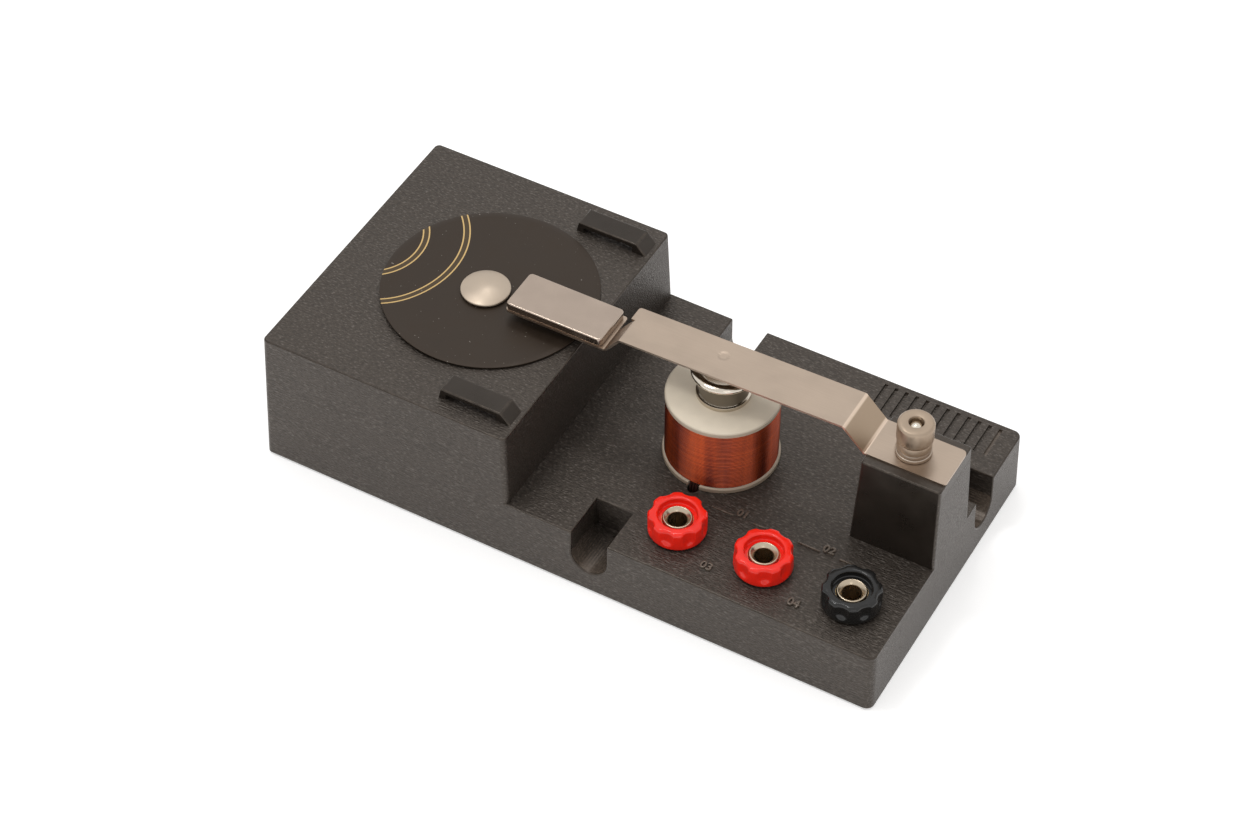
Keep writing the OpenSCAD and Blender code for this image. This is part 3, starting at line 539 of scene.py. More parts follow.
def soft_rubber(name):
    """Matt black rubber, dusty in patches."""
    settings = bpy.context.scene.ticker_housing
    finish = Finish(name, settings.rubber, Roughness=0.82)
    cloud = finish.noise(3 * MM, 4.0)
    finish.feed("Base Color", finish.blend(cloud, finish.base, darker(finish.base, 2.2)))
    finish.feed("Normal", finish.bump(finish.noise(0.3 * MM, 2.0), 0.3, 0.05 * MM))
    return finish.material


def bobbin_nylon(name):
    """Cream nylon, browner and darker at the thin rims of the flanges: partly the nylon's brown
    tint, partly painted shade on the side-lit rims.
    """
    settings = bpy.context.scene.ticker_coil
    coil = box("coil_bobbin")
    finish = Finish(name, settings.nylon, Roughness=0.5)
    radius = coil.size.x / 2
    outward = finish.distance((coil.middle.x, coil.middle.y, 0), (1, 1, 1e6))
    rim = finish.spread(outward, radius - 0.7 * MM, radius, 0, 0.8)
    cloud = finish.noise(2.5 * MM, 4.0)
    tone = finish.blend(cloud, darker(finish.base, 0.9), darker(finish.base, 1.06))
    # The rims are blended towards a darker brown: tint and painted shade
    finish.feed("Base Color", finish.blend(rim, tone, (*settings.nylon_rim_tint_and_shade, 1)))
    finish.feed("Normal", finish.bump(finish.noise(0.4 * MM, 2.0), 0.12, 0.04 * MM))
    return finish.material


def enamelled_wire(name):
    """Red brown enamel over copper, lightened to orange along some upright bands and turns as
    painted highlight.
    """
    settings = bpy.context.scene.ticker_coil
    coil = box("coil_winding")
    finish = Finish(
        name, settings.enamel, Metallic=0.8, Roughness=0.36, Coat_Weight=0.22,
        Coat_Roughness=0.2)
    middle = (coil.middle.x, coil.middle.y, 0)
    bands = finish.noise((3.4 * MM, 3.4 * MM, 60 * MM), 2.0, middle)
    turns = finish.noise((30 * MM, 30 * MM, 0.45 * MM), 1.0, middle)
    # Painted highlight: bands and turns where the wire is blended towards orange
    light = finish.compute("MULTIPLY", finish.spread(bands, 0.40, 0.70), 0.6)
    light = finish.compute("ADD", light, finish.spread(turns, 0.45, 0.75, 0, 0.25))
    finish.feed("Base Color", finish.blend(light, finish.base, (*settings.enamel_painted_highlight, 1)))
    finish.feed("Roughness", finish.spread(bands, 0.3, 0.7, 0.26, 0.42))
    return finish.material


def lead_sleeve(name):
    """Dark varnished sleeving on the leads, darkened nearly to black as painted shade of the lead
    hole.
    """
    finish = Finish(name, (0.028, 0.009, 0.006), Roughness=0.42)
    cloud = finish.noise(0.6 * MM, 3.0)
    finish.feed("Base Color", finish.blend(
        cloud, darker(finish.base, 0.6), darker(finish.base, 1.4)))
    finish.feed("Normal", finish.bump(cloud, 0.2, 0.03 * MM))
    return finish.material


def turned_metal(name, base, axis_of, roughness=0.2, mark=0.12, dull=None):
    """Turned metal with fine tool marks round its axis, clouds, and a band of painted shade if
    given.
    """
    centre = box(axis_of).middle
    pitch = 0.14 * MM
    finish = Finish(name, base, Metallic=1.0, Roughness=roughness)
    outward = finish.distance((centre.x, centre.y, 0), (1, 1, 1e6))
    rings = finish.compute("SINE", finish.compute("MULTIPLY", outward, 2 * math.pi / pitch))
    cloud = finish.noise(1.8 * MM, 3.0)
    tone = finish.blend(cloud, darker(finish.base, 0.9), darker(finish.base, 1.06))
    if dull:
        low, high = dull
        # Painted shade: inside the band the base is darkened to 0.3
        height = finish.add("SeparateXYZ", {0: finish.where}).outputs["Z"]
        band = finish.compute("COMPARE", height, (low + high) / 2, (high - low) / 2)
        tone = finish.blend(band, tone, darker(finish.base, 0.3))
    finish.feed("Base Color", tone)
    finish.feed("Roughness", finish.spread(cloud, 0.3, 0.7, roughness * 0.75, roughness * 1.35))
    finish.feed("Normal", finish.bump(rings, mark, 0.01 * MM))
    return finish.material


def spring_steel(name):
    """Rolled spring steel: a grain along the strip, painted shade as a darker tint on the riser,
    painted highlight lines at the bends.
    """
    settings = bpy.context.scene.ticker_reed
    finish = Finish(name, settings.steel, Metallic=1.0, Roughness=0.35)
    along = finish.noise((9 * MM, 0.09 * MM, 0.6 * MM), 2.0)
    cloud = finish.noise((7 * MM, 5 * MM, 5 * MM), 4.0)
    low_bend = box("reed_arm").hi.x
    high_bend = low_bend - settings.riser
    across = finish.add("SeparateXYZ", {0: finish.where}).outputs["X"]
    riser = finish.compute("COMPARE", across, (low_bend + high_bend) / 2, settings.riser / 2)
    tone = finish.blend(cloud, darker(finish.base, 0.92), darker(finish.base, 1.08))
    tone = finish.blend(finish.spread(along, 0.35, 0.65, 0, 0.16), tone, darker(finish.base, 0.72))
    # Painted shade: the riser is darkened and warmed, as it faces the light differently
    warm = tuple(channel * share for channel, share in zip(finish.base, (0.86, 0.80, 0.70, 1)))
    tone = finish.blend(finish.compute("MULTIPLY", riser, 0.8), tone, warm)
    # Painted highlight: a line lightened 1.9 times along each bend
    for place in (low_bend - 0.1 * MM, high_bend + 0.1 * MM):
        off = finish.compute("ABSOLUTE", finish.compute("SUBTRACT", across, place))
        line = finish.spread(off, 0.42 * MM, 0.16 * MM, 0, 0.8)
        tone = finish.blend(line, tone, darker(finish.base, 1.9))
    finish.feed("Base Color", tone)
    finish.feed("Roughness", finish.spread(cloud, 0.3, 0.7, 0.30, 0.41))
    finish.feed("Normal", finish.bump(along, 0.25, 0.012 * MM))
    return finish.material


def plated_metal(name, base, roughness=0.24):
    """Plated metal, with a soft cloud over its gloss and a few pits."""
    finish = Finish(name, base, Metallic=1.0, Roughness=roughness)
    cloud = finish.noise(5 * MM, 3.0)
    pits = finish.noise(0.5 * MM, 1.0)
    finish.feed("Base Color", finish.blend(
        cloud, darker(finish.base, 0.93), darker(finish.base, 1.06)))
    finish.feed("Roughness", finish.spread(cloud, 0.3, 0.7, roughness * 0.8, roughness * 1.3))
    finish.feed("Normal", finish.bump(pits, 0.04, 0.01 * MM))
    return finish.material


def carbon_paper(name):
    """Waxy carbon paper with pairs of gold arcs, pale dust and faint rubbing marks."""
    settings = bpy.context.scene.ticker_disc
    disc = box("carbon_disc")
    finish = Finish(name, settings.paper, Roughness=0.42, Specular_IOR_Level=0.36,
                    Specular_Tint=WARM)
    arcs_at = (disc.middle.x - 31.9 * MM, disc.middle.y + 1.5 * MM, 0)
    outward = finish.distance(arcs_at, (1, 1, 1e6))
    lines = 0.0
    zone = 0.0
    for inner, outer in ((12.3, 13.6), (21.0, 22.3)):
        for radius in (inner, outer):
            line = finish.compute("COMPARE", outward, radius * MM, 0.15 * MM)
            lines = finish.compute("ADD", lines, line)
        middle = (inner + outer) / 2 * MM
        half = (outer - inner) / 2 * MM
        zone = finish.compute("ADD", zone, finish.compute("COMPARE", outward, middle, half))
    cloud = finish.noise(6 * MM, 4.0)
    dust = finish.spread(finish.noise(0.62 * MM, 1.0), 0.755, 0.80)
    tone = finish.blend(cloud, darker(finish.base, 0.8), darker(finish.base, 1.25))
    tone = finish.blend(finish.compute("MULTIPLY", zone, 0.06), tone, (*settings.gold, 1))
    tone = finish.blend(dust, tone, (0.22, 0.20, 0.175, 1))
    finish.feed("Base Color", finish.blend(lines, tone, (*settings.gold, 1)))
    finish.feed("Roughness", finish.spread(cloud, 0.3, 0.7, 0.38, 0.52))
    finish.feed("Normal", finish.bump(finish.noise(0.8 * MM, 3.0), 0.12, 0.04 * MM))
    return finish.material


def gloss_plastic(name, base):
    """Glossy moulded plastic with a slight ripple."""
    finish = Finish(name, base, Roughness=0.14, Specular_IOR_Level=0.42)
    ripple = finish.noise(2.2 * MM, 2.0)
    finish.feed("Base Color", finish.blend(
        ripple, darker(finish.base, 0.84), darker(finish.base, 1.1)))
    finish.feed("Roughness", finish.spread(finish.noise(0.9 * MM, 2.0), 0.3, 0.7, 0.1, 0.2))
    finish.feed("Normal", finish.bump(ripple, 0.06, 0.05 * MM))
    return finish.material


def plastic():
    return finish_of("moulded_charcoal", moulded_plastic)


def brass():
    base = bpy.context.scene.ticker_sockets.brass
    return finish_of("dull_brass", lambda name: plated_metal(name, base, 0.34))


def zinc():
    return finish_of("zinc_plate", lambda name: plated_metal(name, (0.50, 0.49, 0.47), 0.36))


# ---- the housing ----

def is_outside_wall(face, housing):
    """Whether a face belongs to the four drafted walls that the housing shows from the side."""
    middle = middle_of(face)
    near = 4 * MM
    facing = 0.9
    for axis in (0, 1):
        side = math.copysign(1, middle[axis])
        wall = housing.hi[axis] if side > 0 else housing.lo[axis]
        if face.normal[axis] * side > facing and abs(middle[axis] - wall) < near:
            return True
    return False


def hidden_holes():
    """Middles and radii of the holes in the housing that other pieces fill, in metres."""
    radii = {"pole_core": 3.6, "clamp_stud": 2.9, "disc_pin": 1.3}
    radii.update({f"socket_stem_{index}": 4.8 for index in SOCKETS})
    holes = [(box(node).middle, radius) for node, radius in radii.items()]
    bobbin = box("coil_bobbin")
    lead_hole = Vector((bobbin.middle.x, bobbin.lo.y, 0))
    holes.append((lead_hole, 1.8))
    return [(Vector((place.x, place.y)), radius * MM) for place, radius in holes]


def shows_as_edge(edge, housing, deck_z, holes):
    """Whether an edge of the housing is a convex outer one, which a mould rounds."""
    if len(edge.link_faces) != 2:
        return False
    if edge.calc_face_angle_signed() < math.radians(35):
        return False
    middle = middle_of(edge)
    if middle.z < housing.lo.z + MM:
        return False
    flat = Vector((middle.x, middle.y))
    if any((flat - place).length < radius for place, radius in holes):
        return False
    in_grooves = (
        housing.hi.x - 33 * MM < middle.x < housing.hi.x - 3.6 * MM
        and housing.hi.y - 11 * MM < middle.y < housing.hi.y - 1.4 * MM)
    if in_grooves:
        return False
    if any(is_outside_wall(face, housing) for face in edge.link_faces):
        return True
    over_deck = middle.z > deck_z - 0.05 * MM
    return over_deck and any(face.normal.z > 0.3 for face in edge.link_faces)


def is_recess(face, housing, deck_z):
    """Whether a face belongs to one of the recesses in the housing's sides."""
    place = face.center
    if not housing.lo.z + 1.5 * MM < place.z < deck_z - 0.2 * MM or face.normal.z < -0.3:
        return False
    depth, axis = min((housing.hi[axis] - abs(place[axis]), axis) for axis in (0, 1))
    outward = face.normal[axis] * math.copysign(1, place[axis])
    return 3 * MM < depth < 5.5 * MM or (0.3 * MM < depth <= 3 * MM and outward < 0.3)


def is_smooth(face, housing):
    """Whether a face belongs to a tape guide, or to the front of the pillar."""
    place = face.center
    disc = box("carbon_disc")
    on_guide = place.x < disc.hi.x + 5 * MM and place.z > disc.lo.z + 0.2 * MM
    on_pillar = (
        face.normal.y < -0.9 and place.x > box("coil_bobbin").hi.x
        and place.y > housing.lo.y + 10 * MM and place.z > box("coil_bobbin").lo.z + MM)
    return on_guide or on_pillar


class TICKER_OT_housing(bpy.types.Operator):
    """Round the outer edges of the moulded housing and give it its grained plastic"""
    bl_idname = "ticker.housing"
    bl_label = "Housing"

    def execute(self, context):
        settings = context.scene.ticker_housing
        housing = box("base_housing")
        deck_z = box("coil_bobbin").lo.z
        holes = hidden_holes()
        piece = merged_copy("base_housing", "housing")
        piece.data.materials.clear()
        for _ in range(4):
            piece.data.materials.append(None)
        with editing(piece, "EDGE"):
            pick("edges", lambda edge: shows_as_edge(edge, housing, deck_z, holes))
            bpy.ops.mesh.bevel(
                offset=settings.edge_round, segments=3, profile=0.5, affect="EDGES",
                clamp_overlap=False, material=1)
        shade(piece)
        fit(piece, "base", "housing", plastic(), "base_housing")
        # The rounded edges take the painted edge shade and highlight
        piece.data.materials[1] = finish_of("polished_edge", polished_edge)
        piece.data.materials[2] = finish_of("smooth_charcoal", smooth_plastic)
        piece.data.materials[3] = finish_of("polished_marks", polished_plastic)
        for face in piece.data.polygons:
            # The guides and the pillar's front take the charcoal darkened as painted shade
            if face.material_index == 0 and is_smooth(face, housing):
                face.material_index = 2
            # Painted light: the recesses take the lightened polished finish, so they look lit
            # inside
            elif face.material_index == 0 and is_recess(face, housing, deck_z):
                face.material_index = 3
        return {"FINISHED"}


class TICKER_OT_numbers(bpy.types.Operator):
    """Raise plain numbers and the ridges between the sockets on the deck"""
    bl_idname = "ticker.numbers"
    bl_label = "Numbers and ridges"

    def execute(self, context):
        settings = context.scene.ticker_housing
        deck_z = box("coil_bobbin").lo.z
        stems = [box(f"socket_stem_{index}").middle for index in SOCKETS]
        back_row = 10.1 * MM
        front_row = -6 * MM
        ridge_row = 8.9 * MM
        parts = []
        for gap, (left, right) in enumerate(zip(stems, stems[1:])):
            middle = (left.x + right.x) / 2
            for first, row in ((1, back_row), (3, front_row)):
                parts.append(self.number(
                    settings, f"0{gap + first}", middle, left.y + row, deck_z))
            for side, near, far in ((left.x, 3.3, 8.4), (right.x, -7.0, -4.1)):
                ends = (side + near * MM, side + far * MM)
                parts.append(self.ridge(settings, *ends, left.y + ridge_row, deck_z))
        make_active(parts[0])
        for part in parts:
            part.select_set(True)
        bpy.ops.object.join()
        piece = settle("deck_numbers")
        with editing(piece):
            bpy.ops.mesh.select_all(action="SELECT")
            bpy.ops.mesh.remove_doubles(threshold=0.001 * MM)
            bpy.ops.mesh.normals_make_consistent(inside=False)
        shade(piece, 40, weighted=False)
        # Painted highlight: the numbers take the lightened polished finish
        fit(piece, "base", "housing", finish_of("polished_marks", polished_plastic))
        return {"FINISHED"}

    def number(self, settings, words, x, y, z):
        """One raised number, which stands a little in the deck."""
        deselect_all()
        bpy.ops.object.text_add(location=(x, y, z))
        text = bpy.context.active_object.data
        text.body = words
        text.size = settings.number_height
        text.extrude = settings.number_relief - RELIEF_EDGE
        text.bevel_depth = RELIEF_EDGE
        text.bevel_resolution = 1
        text.offset = 0.03 * MM
        text.align_x = "CENTER"
        text.align_y = "CENTER"
        bpy.ops.object.convert(target="MESH")
        return settle("number")

    def ridge(self, settings, x0, x1, y, z):
        """One thin ridge on the deck."""
        deselect_all()
        height = 2 * settings.number_relief
        bpy.ops.mesh.primitive_cube_add(
            size=1, location=((x0 + x1) / 2, y, z), scale=(x1 - x0, settings.ridge_width, height))
        piece = settle("ridge")
        with editing(piece, "EDGE"):
            pick("edges", lambda edge: middle_of(edge).z > z)
            bpy.ops.mesh.bevel(offset=RELIEF_EDGE, segments=2, affect="EDGES")
        return piece


class TICKER_OT_underside(bpy.types.Operator):
    """Soften and finish the base cover, its screws and its rubber feet"""
    bl_idname = "ticker.underside"
    bl_label = "Cover, screws and feet"

    def execute(self, context):
        cover = finish_of("cover_charcoal", plain_plastic)
        rubber = finish_of("foot_rubber", soft_rubber)
        rows = (
            ("base_cover", "cover", "cover", cover, 0.2),
            ("cover_screws", "screws", "screws", zinc(), 0.08),
            ("rubber_feet", "feet", "feet", rubber, 0.25),
        )
        for node, name, slot, material, edge in rows:
            piece = merged_copy(node, name)
            soften(piece, edge * MM)
            shade(piece)
            fit(piece, "base", slot, material, node)
        return {"FINISHED"}


# ---- the coil ----

class TICKER_OT_bobbin(bpy.types.Operator):
    """Round the flanges of the cream bobbin"""
    bl_idname = "ticker.bobbin"
    bl_label = "Bobbin"

    def execute(self, context):
        settings = context.scene.ticker_coil
        piece = merged_copy("coil_bobbin", "bobbin")
        soften(piece, settings.flange_round, segments=3, angle=40)
        shade(piece)
        nylon = finish_of("cream_nylon", bobbin_nylon)
        fit(piece, "base", "bobbin", nylon, "coil_bobbin")
        return {"FINISHED"}


class TICKER_OT_winding(bpy.types.Operator):
    """Turn the winding with one round ridge for each turn of wire"""
    bl_idname = "ticker.winding"
    bl_label = "Winding"

    def execute(self, context):
        turns = context.scene.ticker_coil.wire_turns
        winding = box("coil_winding")
        outside = box("coil_bobbin").size.x / 2 / MM - 0.45
        barrel = 5.2
        height = winding.size.z / MM
        pitch = height / turns
        wire = pitch / 2
        profile = [(barrel, 0)]
        for turn in range(turns):
            middle = (turn + 0.5) * pitch
            profile += arc(outside - wire, middle, wire, -72, 72, 4)
        profile.append((barrel, height))
        piece = turned("winding", foot_of("coil_winding"), profile, steps=128)
        shade(piece, 60, weighted=False)
        wire_finish = finish_of("enamelled_wire", enamelled_wire)
        fit(piece, "base", "winding", wire_finish, "coil_winding")
        for lead in ("start_lead", "tap_lead", "finish_lead"):
            paint(frame["nodes"][lead], finish_of("lead_sleeve", lead_sleeve))
        return {"FINISHED"}


class TICKER_OT_core(bpy.types.Operator):
    """Turn the steel core, with its collar, neck, rolled rim and dished top"""
    bl_idname = "ticker.core"
    bl_label = "Core"

    def execute(self, context):
        steel = context.scene.ticker_coil.steel
        core = box("pole_core")
        rim = core.size.x / 2 / MM
        deck = height_mm("pole_core", box("coil_bobbin").lo.z)
        seat = height_mm("pole_core", box("coil_bobbin").hi.z)
        top = core.size.z / MM
        tail = 3.0
        bore = 4.0
        collar = 5.8
        collar_top = seat + 1.0
        neck = 5.3
        roll = 0.8
        dish = 5.0
        dish_floor = top - 1.4
        profile = [
            (0, 0), (tail - 0.4, 0), (tail, 0.4), (tail, deck), (bore, deck), (bore, seat),
            (collar, seat), (collar, collar_top), (neck, collar_top), (neck, top - 2 * roll)]
        profile += arc(rim - roll, top - roll, roll, -90, 90, 14)
        profile += arc(dish + 0.35, top - 0.35, 0.35, 90, 180, 4)
        profile += [(dish - 0.25, dish_floor + 0.3), (dish - 0.7, dish_floor), (0, dish_floor)]
        piece = turned("core", foot_of("pole_core"), profile, steps=128)
        soften(piece, 0.12 * MM, angle=50)
        shade(piece, 40, weighted=False)
        # Painted shade on the core's neck, between the collar and the rim
        low = foot_of("pole_core").z + (collar_top + 0.1) * MM
        high = foot_of("pole_core").z + (top - 2 * roll + 0.1) * MM
        material = finish_of("turned_steel", lambda name: turned_metal(
            name, steel, "pole_core", 0.13, dull=(low, high)))
        fit(piece, "base", "core", material, "pole_core")
        return {"FINISHED"}


# ---- the reed ----

def rounded_path(points, bends):
    """Points of a side view, (x, z), with an arc of its own radius in each inner corner."""
    path = [points[0]]
    for before, corner, after, bend in zip(points, points[1:], points[2:], bends):
        arrive = (corner - before).normalized()
        leave = (after - corner).normalized()
        turn = arrive.angle(leave)
        reach = bend * math.tan(turn / 2)
        start = corner - arrive * reach
        end = corner + leave * reach
        for step in range(BEND_STEPS + 1):
            share = step / BEND_STEPS
            path.append(
                start * (1 - share) ** 2 + corner * 2 * share * (1 - share) + end * share ** 2)
    path.append(points[-1])
    return path


def extrude_along(path):
    """Extrude the selected edges from point to point of a side view."""
    for before, after in zip(path, path[1:]):
        step = after - before
        bpy.ops.mesh.extrude_region_move(
            TRANSFORM_OT_translate={"value": (step.x, 0, step.y)})


class TICKER_OT_reed(bpy.types.Operator):
    """Bend the spring steel reed from one strip, with its riser, neck, paddle and dimple"""
    bl_idname = "ticker.reed"
    bl_label = "Reed"

    def execute(self, context):
        settings = context.scene.ticker_reed
        foot = box("reed_foot")
        arm = box("reed_arm")
        front = foot.lo.y
        back = foot.hi.y
        low_bend = Vector((arm.hi.x, foot.hi.z))
        high_bend = Vector((arm.hi.x - settings.riser, arm.hi.z))
        shoulder_x = arm.lo.x + settings.arm_end
        fall = math.tan(settings.slope)

        def on_arm(x):
            return Vector((x, high_bend.y - (high_bend.x - x) * fall))

        neck_x = shoulder_x + settings.neck_back
        paddle_z = arm.lo.z + settings.thickness
        paddle_x = neck_x - settings.neck
        start = Vector((foot.hi.x, foot.hi.z))
        first = Vector((foot.middle.x, foot.hi.z))
        tight = settings.bend * 0.6
        points = [first, low_bend, high_bend, on_arm(neck_x)]
        points += [Vector((paddle_x, paddle_z)), Vector((arm.lo.x, paddle_z))]
        bends = (tight, settings.bend, settings.bend, tight)
        path = rounded_path(points, bends)
        neck_start = 1 + 2 * (BEND_STEPS + 1)
        piece = self.first_stretch(start, first, front, back)
        with editing(piece, "EDGE"):
            pick("edges", lambda edge: middle_of(edge).x < first.x + 0.01 * MM)
            extrude_along(path[:neck_start + 1])
            self.split_at(front + settings.neck_width)
            end_x = path[neck_start].x
            self.pick_end(end_x, front + settings.neck_width, back)
            extrude_along([path[neck_start], on_arm(shoulder_x)])
            self.pick_end(end_x, front, front + settings.neck_width)
            extrude_along(path[neck_start:])
            paddle_start = path[-2].x
            pick("edges", lambda edge: self.is_paddle_side(
                edge, paddle_start, front + settings.neck_width))
            bpy.ops.mesh.extrude_region_move(TRANSFORM_OT_translate={
                "value": (0, back - front - settings.neck_width, 0)})
            self.press_dimple(settings)
            self.round_corners(settings, start, shoulder_x, arm.lo.x, paddle_start, front, back)
            bpy.ops.mesh.select_all(action="SELECT")
            bpy.ops.mesh.remove_doubles(threshold=0.002 * MM)
        self.face_up(piece)
        modify(
            piece, "SOLIDIFY", thickness=settings.thickness, offset=-1, use_even_offset=True)
        soften(piece, settings.edge, segments=2, angle=50)
        shade(piece, 35)
        paint(piece, finish_of("spring_steel", spring_steel))
        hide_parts("reed_foot", "reed_arm")
        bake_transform(piece)
        return {"FINISHED"}

    def first_stretch(self, start, first, front, back):
        """The flat foot under the clamp, as far as the first point of the path."""
        deselect_all()
        bpy.ops.mesh.primitive_plane_add(
            size=1, location=((start.x + first.x) / 2, (front + back) / 2, start.y))
        bpy.context.active_object.scale = (start.x - first.x, back - front, 1)
        return settle("reed")

    def split_at(self, y):
        """Cut the whole sheet lengthwise."""
        bpy.ops.mesh.select_all(action="SELECT")
        bpy.ops.mesh.bisect(plane_co=(0, y, 0), plane_no=(0, 1, 0))

    def pick_end(self, x, low, high):
        """Select the edges across the strip at x, between two sides."""
        def at_end(edge):
            middle = middle_of(edge)
            level = abs(edge.verts[0].co.x - edge.verts[1].co.x) < 0.01 * MM
            return level and abs(middle.x - x) < 0.01 * MM and low < middle.y < high
        pick("edges", at_end)

    def is_paddle_side(self, edge, paddle_start, y):
        """Whether an edge runs along the paddle, at the neck's back edge."""
        along = abs(edge.verts[0].co.y - edge.verts[1].co.y) < 0.01 * MM
        middle = middle_of(edge)
        return along and middle.x < paddle_start and abs(middle.y - y) < 0.01 * MM

    def press_dimple(self, settings):
        """Press the small round dimple into the arm, over the core."""
        coil = box("pole_core").middle
        x = coil.x - settings.dimple_from_coil
        y = settings.dimple_back
        half = 1.6 * settings.dimple

        def in_square(face):
            middle = middle_of(face)
            return abs(middle.x - x) < half and abs(middle.y - y) < half

        for place, normal in (
                ((x - half, 0, 0), (1, 0, 0)), ((x + half, 0, 0), (1, 0, 0)),
                ((0, y - half, 0), (0, 1, 0)), ((0, y + half, 0), (0, 1, 0))):
            bpy.ops.mesh.select_mode(type="FACE")
            pick("faces", lambda face: any(v.co.x < x for v in face.verts) and any(
                v.co.x > x for v in face.verts))
            bpy.ops.mesh.bisect(plane_co=place, plane_no=normal)
        pick("faces", in_square)
        bpy.ops.mesh.subdivide(number_cuts=20)
        bpy.ops.mesh.select_mode(type="VERT")
        for share, depth in ((1.0, 0.03), (0.86, 0.04), (0.7, 0.03)):
            reach = settings.dimple * share
            pick("verts", lambda v: math.hypot(v.co.x - x, v.co.y - y) < reach)
            bpy.ops.transform.translate(value=(0, 0, -depth * MM))

    def round_corners(self, settings, start, shoulder_x, end_x, paddle_start, front, back):
        """Round the strip's free corners in plan."""
        corners = [
            (start.x, front, 1.0), (start.x, back, 1.0), (end_x, front, 1.0), (end_x, back, 1.0),
            (shoulder_x, back, 0.6), (paddle_start, back, 0.6)]
        bpy.ops.mesh.select_mode(type="VERT")
        for x, y, share in corners:
            near = 0.02 * MM
            pick("verts", lambda v: abs(v.co.x - x) < near and abs(v.co.y - y) < near)
            bpy.ops.mesh.bevel(
                offset=settings.corner * share, segments=6, affect="VERTICES")

    def face_up(self, piece):
        """Turn the sheet so that its faces point up."""
        with editing(piece, "FACE"):
            bpy.ops.mesh.select_all(action="SELECT")
            bpy.ops.mesh.normals_make_consistent(inside=False)
        if sum(face.normal.z * face.area for face in piece.data.polygons) < 0:
            with editing(piece, "FACE"):
                bpy.ops.mesh.select_all(action="SELECT")
                bpy.ops.mesh.flip_normals()


class TICKER_OT_magnet(bpy.types.Operator):
    """Round the plated block magnet and finish the striker point under it"""
    bl_idname = "ticker.magnet"
    bl_label = "Magnet and striker point"

    def execute(self, context):
        settings = context.scene.ticker_reed
        magnet = box("reed_magnet")
        corner = 0.95 * MM
        inset = Vector((1, 1, 0)) * 2 * settings.magnet_inset
        deselect_all()
        bpy.ops.mesh.primitive_cube_add(
            size=1, location=magnet.middle, scale=magnet.size - inset)
        piece = settle("magnet")
        with editing(piece, "EDGE"):
            pick("edges", lambda edge: abs(edge.verts[0].co.z - edge.verts[1].co.z) > MM)
            bpy.ops.mesh.bevel(offset=corner, segments=6, affect="EDGES")
        soften(piece, settings.magnet_edge, segments=4, angle=50)
        shade(piece, 40)
        plate = finish_of("magnet_plate", lambda name: plated_metal(name, settings.magnet, 0.2))
        fit(piece, "reed", "magnet", plate, "reed_magnet")
        paint(frame["nodes"]["striker_point"], zinc())
        return {"FINISHED"}


# ---- the reed clamp ----

class TICKER_OT_clamp(bpy.types.Operator):
    """Turn the thumb nut, its washers and the end of the stud"""
    bl_idname = "ticker.clamp"
    bl_label = "Nut, washers and stud"

    def execute(self, context):
        settings = context.scene.ticker_clamp
        plate = finish_of(
            "nut_plate", lambda name: turned_metal(name, settings.nut, "thumb_nut", 0.42, 0.05))
        washer_plate = finish_of(
            "washer_plate", lambda name: plated_metal(name, settings.washer, 0.34))
        self.nut(settings, plate)
        self.washer(washer_plate)
        lock = merged_copy("lock_washer", "lock_washer_piece")
        soften(lock, 0.1 * MM, angle=40)
        shade(lock)
        fit(lock, "washer", "nut", washer_plate, "lock_washer")
        self.stud(finish_of(
            "stud_steel", lambda name: plated_metal(name, (0.68, 0.62, 0.53), 0.16)))
        paint(frame["nodes"]["stud_insert"], brass())
        return {"FINISHED"}

    def nut(self, settings, plate):
        """The round nut, with a narrower foot and a groove under its head."""
        nut = box("thumb_nut")
        radius = nut.size.x / 2 / MM
        top = nut.size.z / MM
        bore = box("clamp_stud").size.x / 2 / MM + 0.05
        foot = 3.6
        foot_top = 2.1
        groove = 0.25
        bend = settings.nut_round / MM
        profile = [
            (bore, 0), (foot, 0), (foot, foot_top - groove), (foot - groove, foot_top - groove),
            (foot - groove, foot_top), (radius - 0.1, foot_top + 0.1), (radius, foot_top + 0.35)]
        profile += arc(radius - bend, top - bend, bend, 0, 90, 8)
        profile += arc(bore + 0.25, top - 0.25, 0.25, 90, 180, 4)
        piece = turned("nut", foot_of("thumb_nut"), profile)
        soften(piece, 0.08 * MM, angle=50)
        shade(piece, 40, weighted=False)
        fit(piece, "nut", "nut", plate, "thumb_nut")

    def washer(self, plate):
        """The flat washer on the reed's foot."""
        washer = box("clamp_washer")
        radius = washer.size.x / 2 / MM
        height = washer.size.z / MM
        bore = box("clamp_stud").size.x / 2 / MM + 0.05
        profile = [(bore, 0), (radius, 0), (radius, height), (bore, height)]
        piece = turned("washer_ring", foot_of("clamp_washer"), profile)
        soften(piece, 0.2 * MM, segments=3, angle=50)
        shade(piece, 40, weighted=False)
        fit(piece, "washer", "nut", plate, "clamp_washer")

    def stud(self, plate):
        """The threaded stud, with a domed end."""
        stud = box("clamp_stud")
        radius = stud.size.x / 2 / MM
        top = stud.size.z / MM
        thread = 0.35
        profile = [(0, 0), (radius - 0.3, 0)]
        for turn in range(int((top - 1) / thread)):
            height = 0.3 + turn * thread
            profile += [(radius, height), (radius - 0.18, height + thread / 2)]
        profile += [(radius, top - 0.8), (radius - 0.35, top - 0.45), (0.75 * radius, top - 0.28),
                    (0.5 * radius, top - 0.1), (0.25 * radius, top - 0.02), (0, top)]
        piece = turned("stud", foot_of("clamp_stud"), profile, steps=64)
        shade(piece, 40, weighted=False)
        fit(piece, "base", "nut", plate, "clamp_stud")


# ---- the carbon disc ----

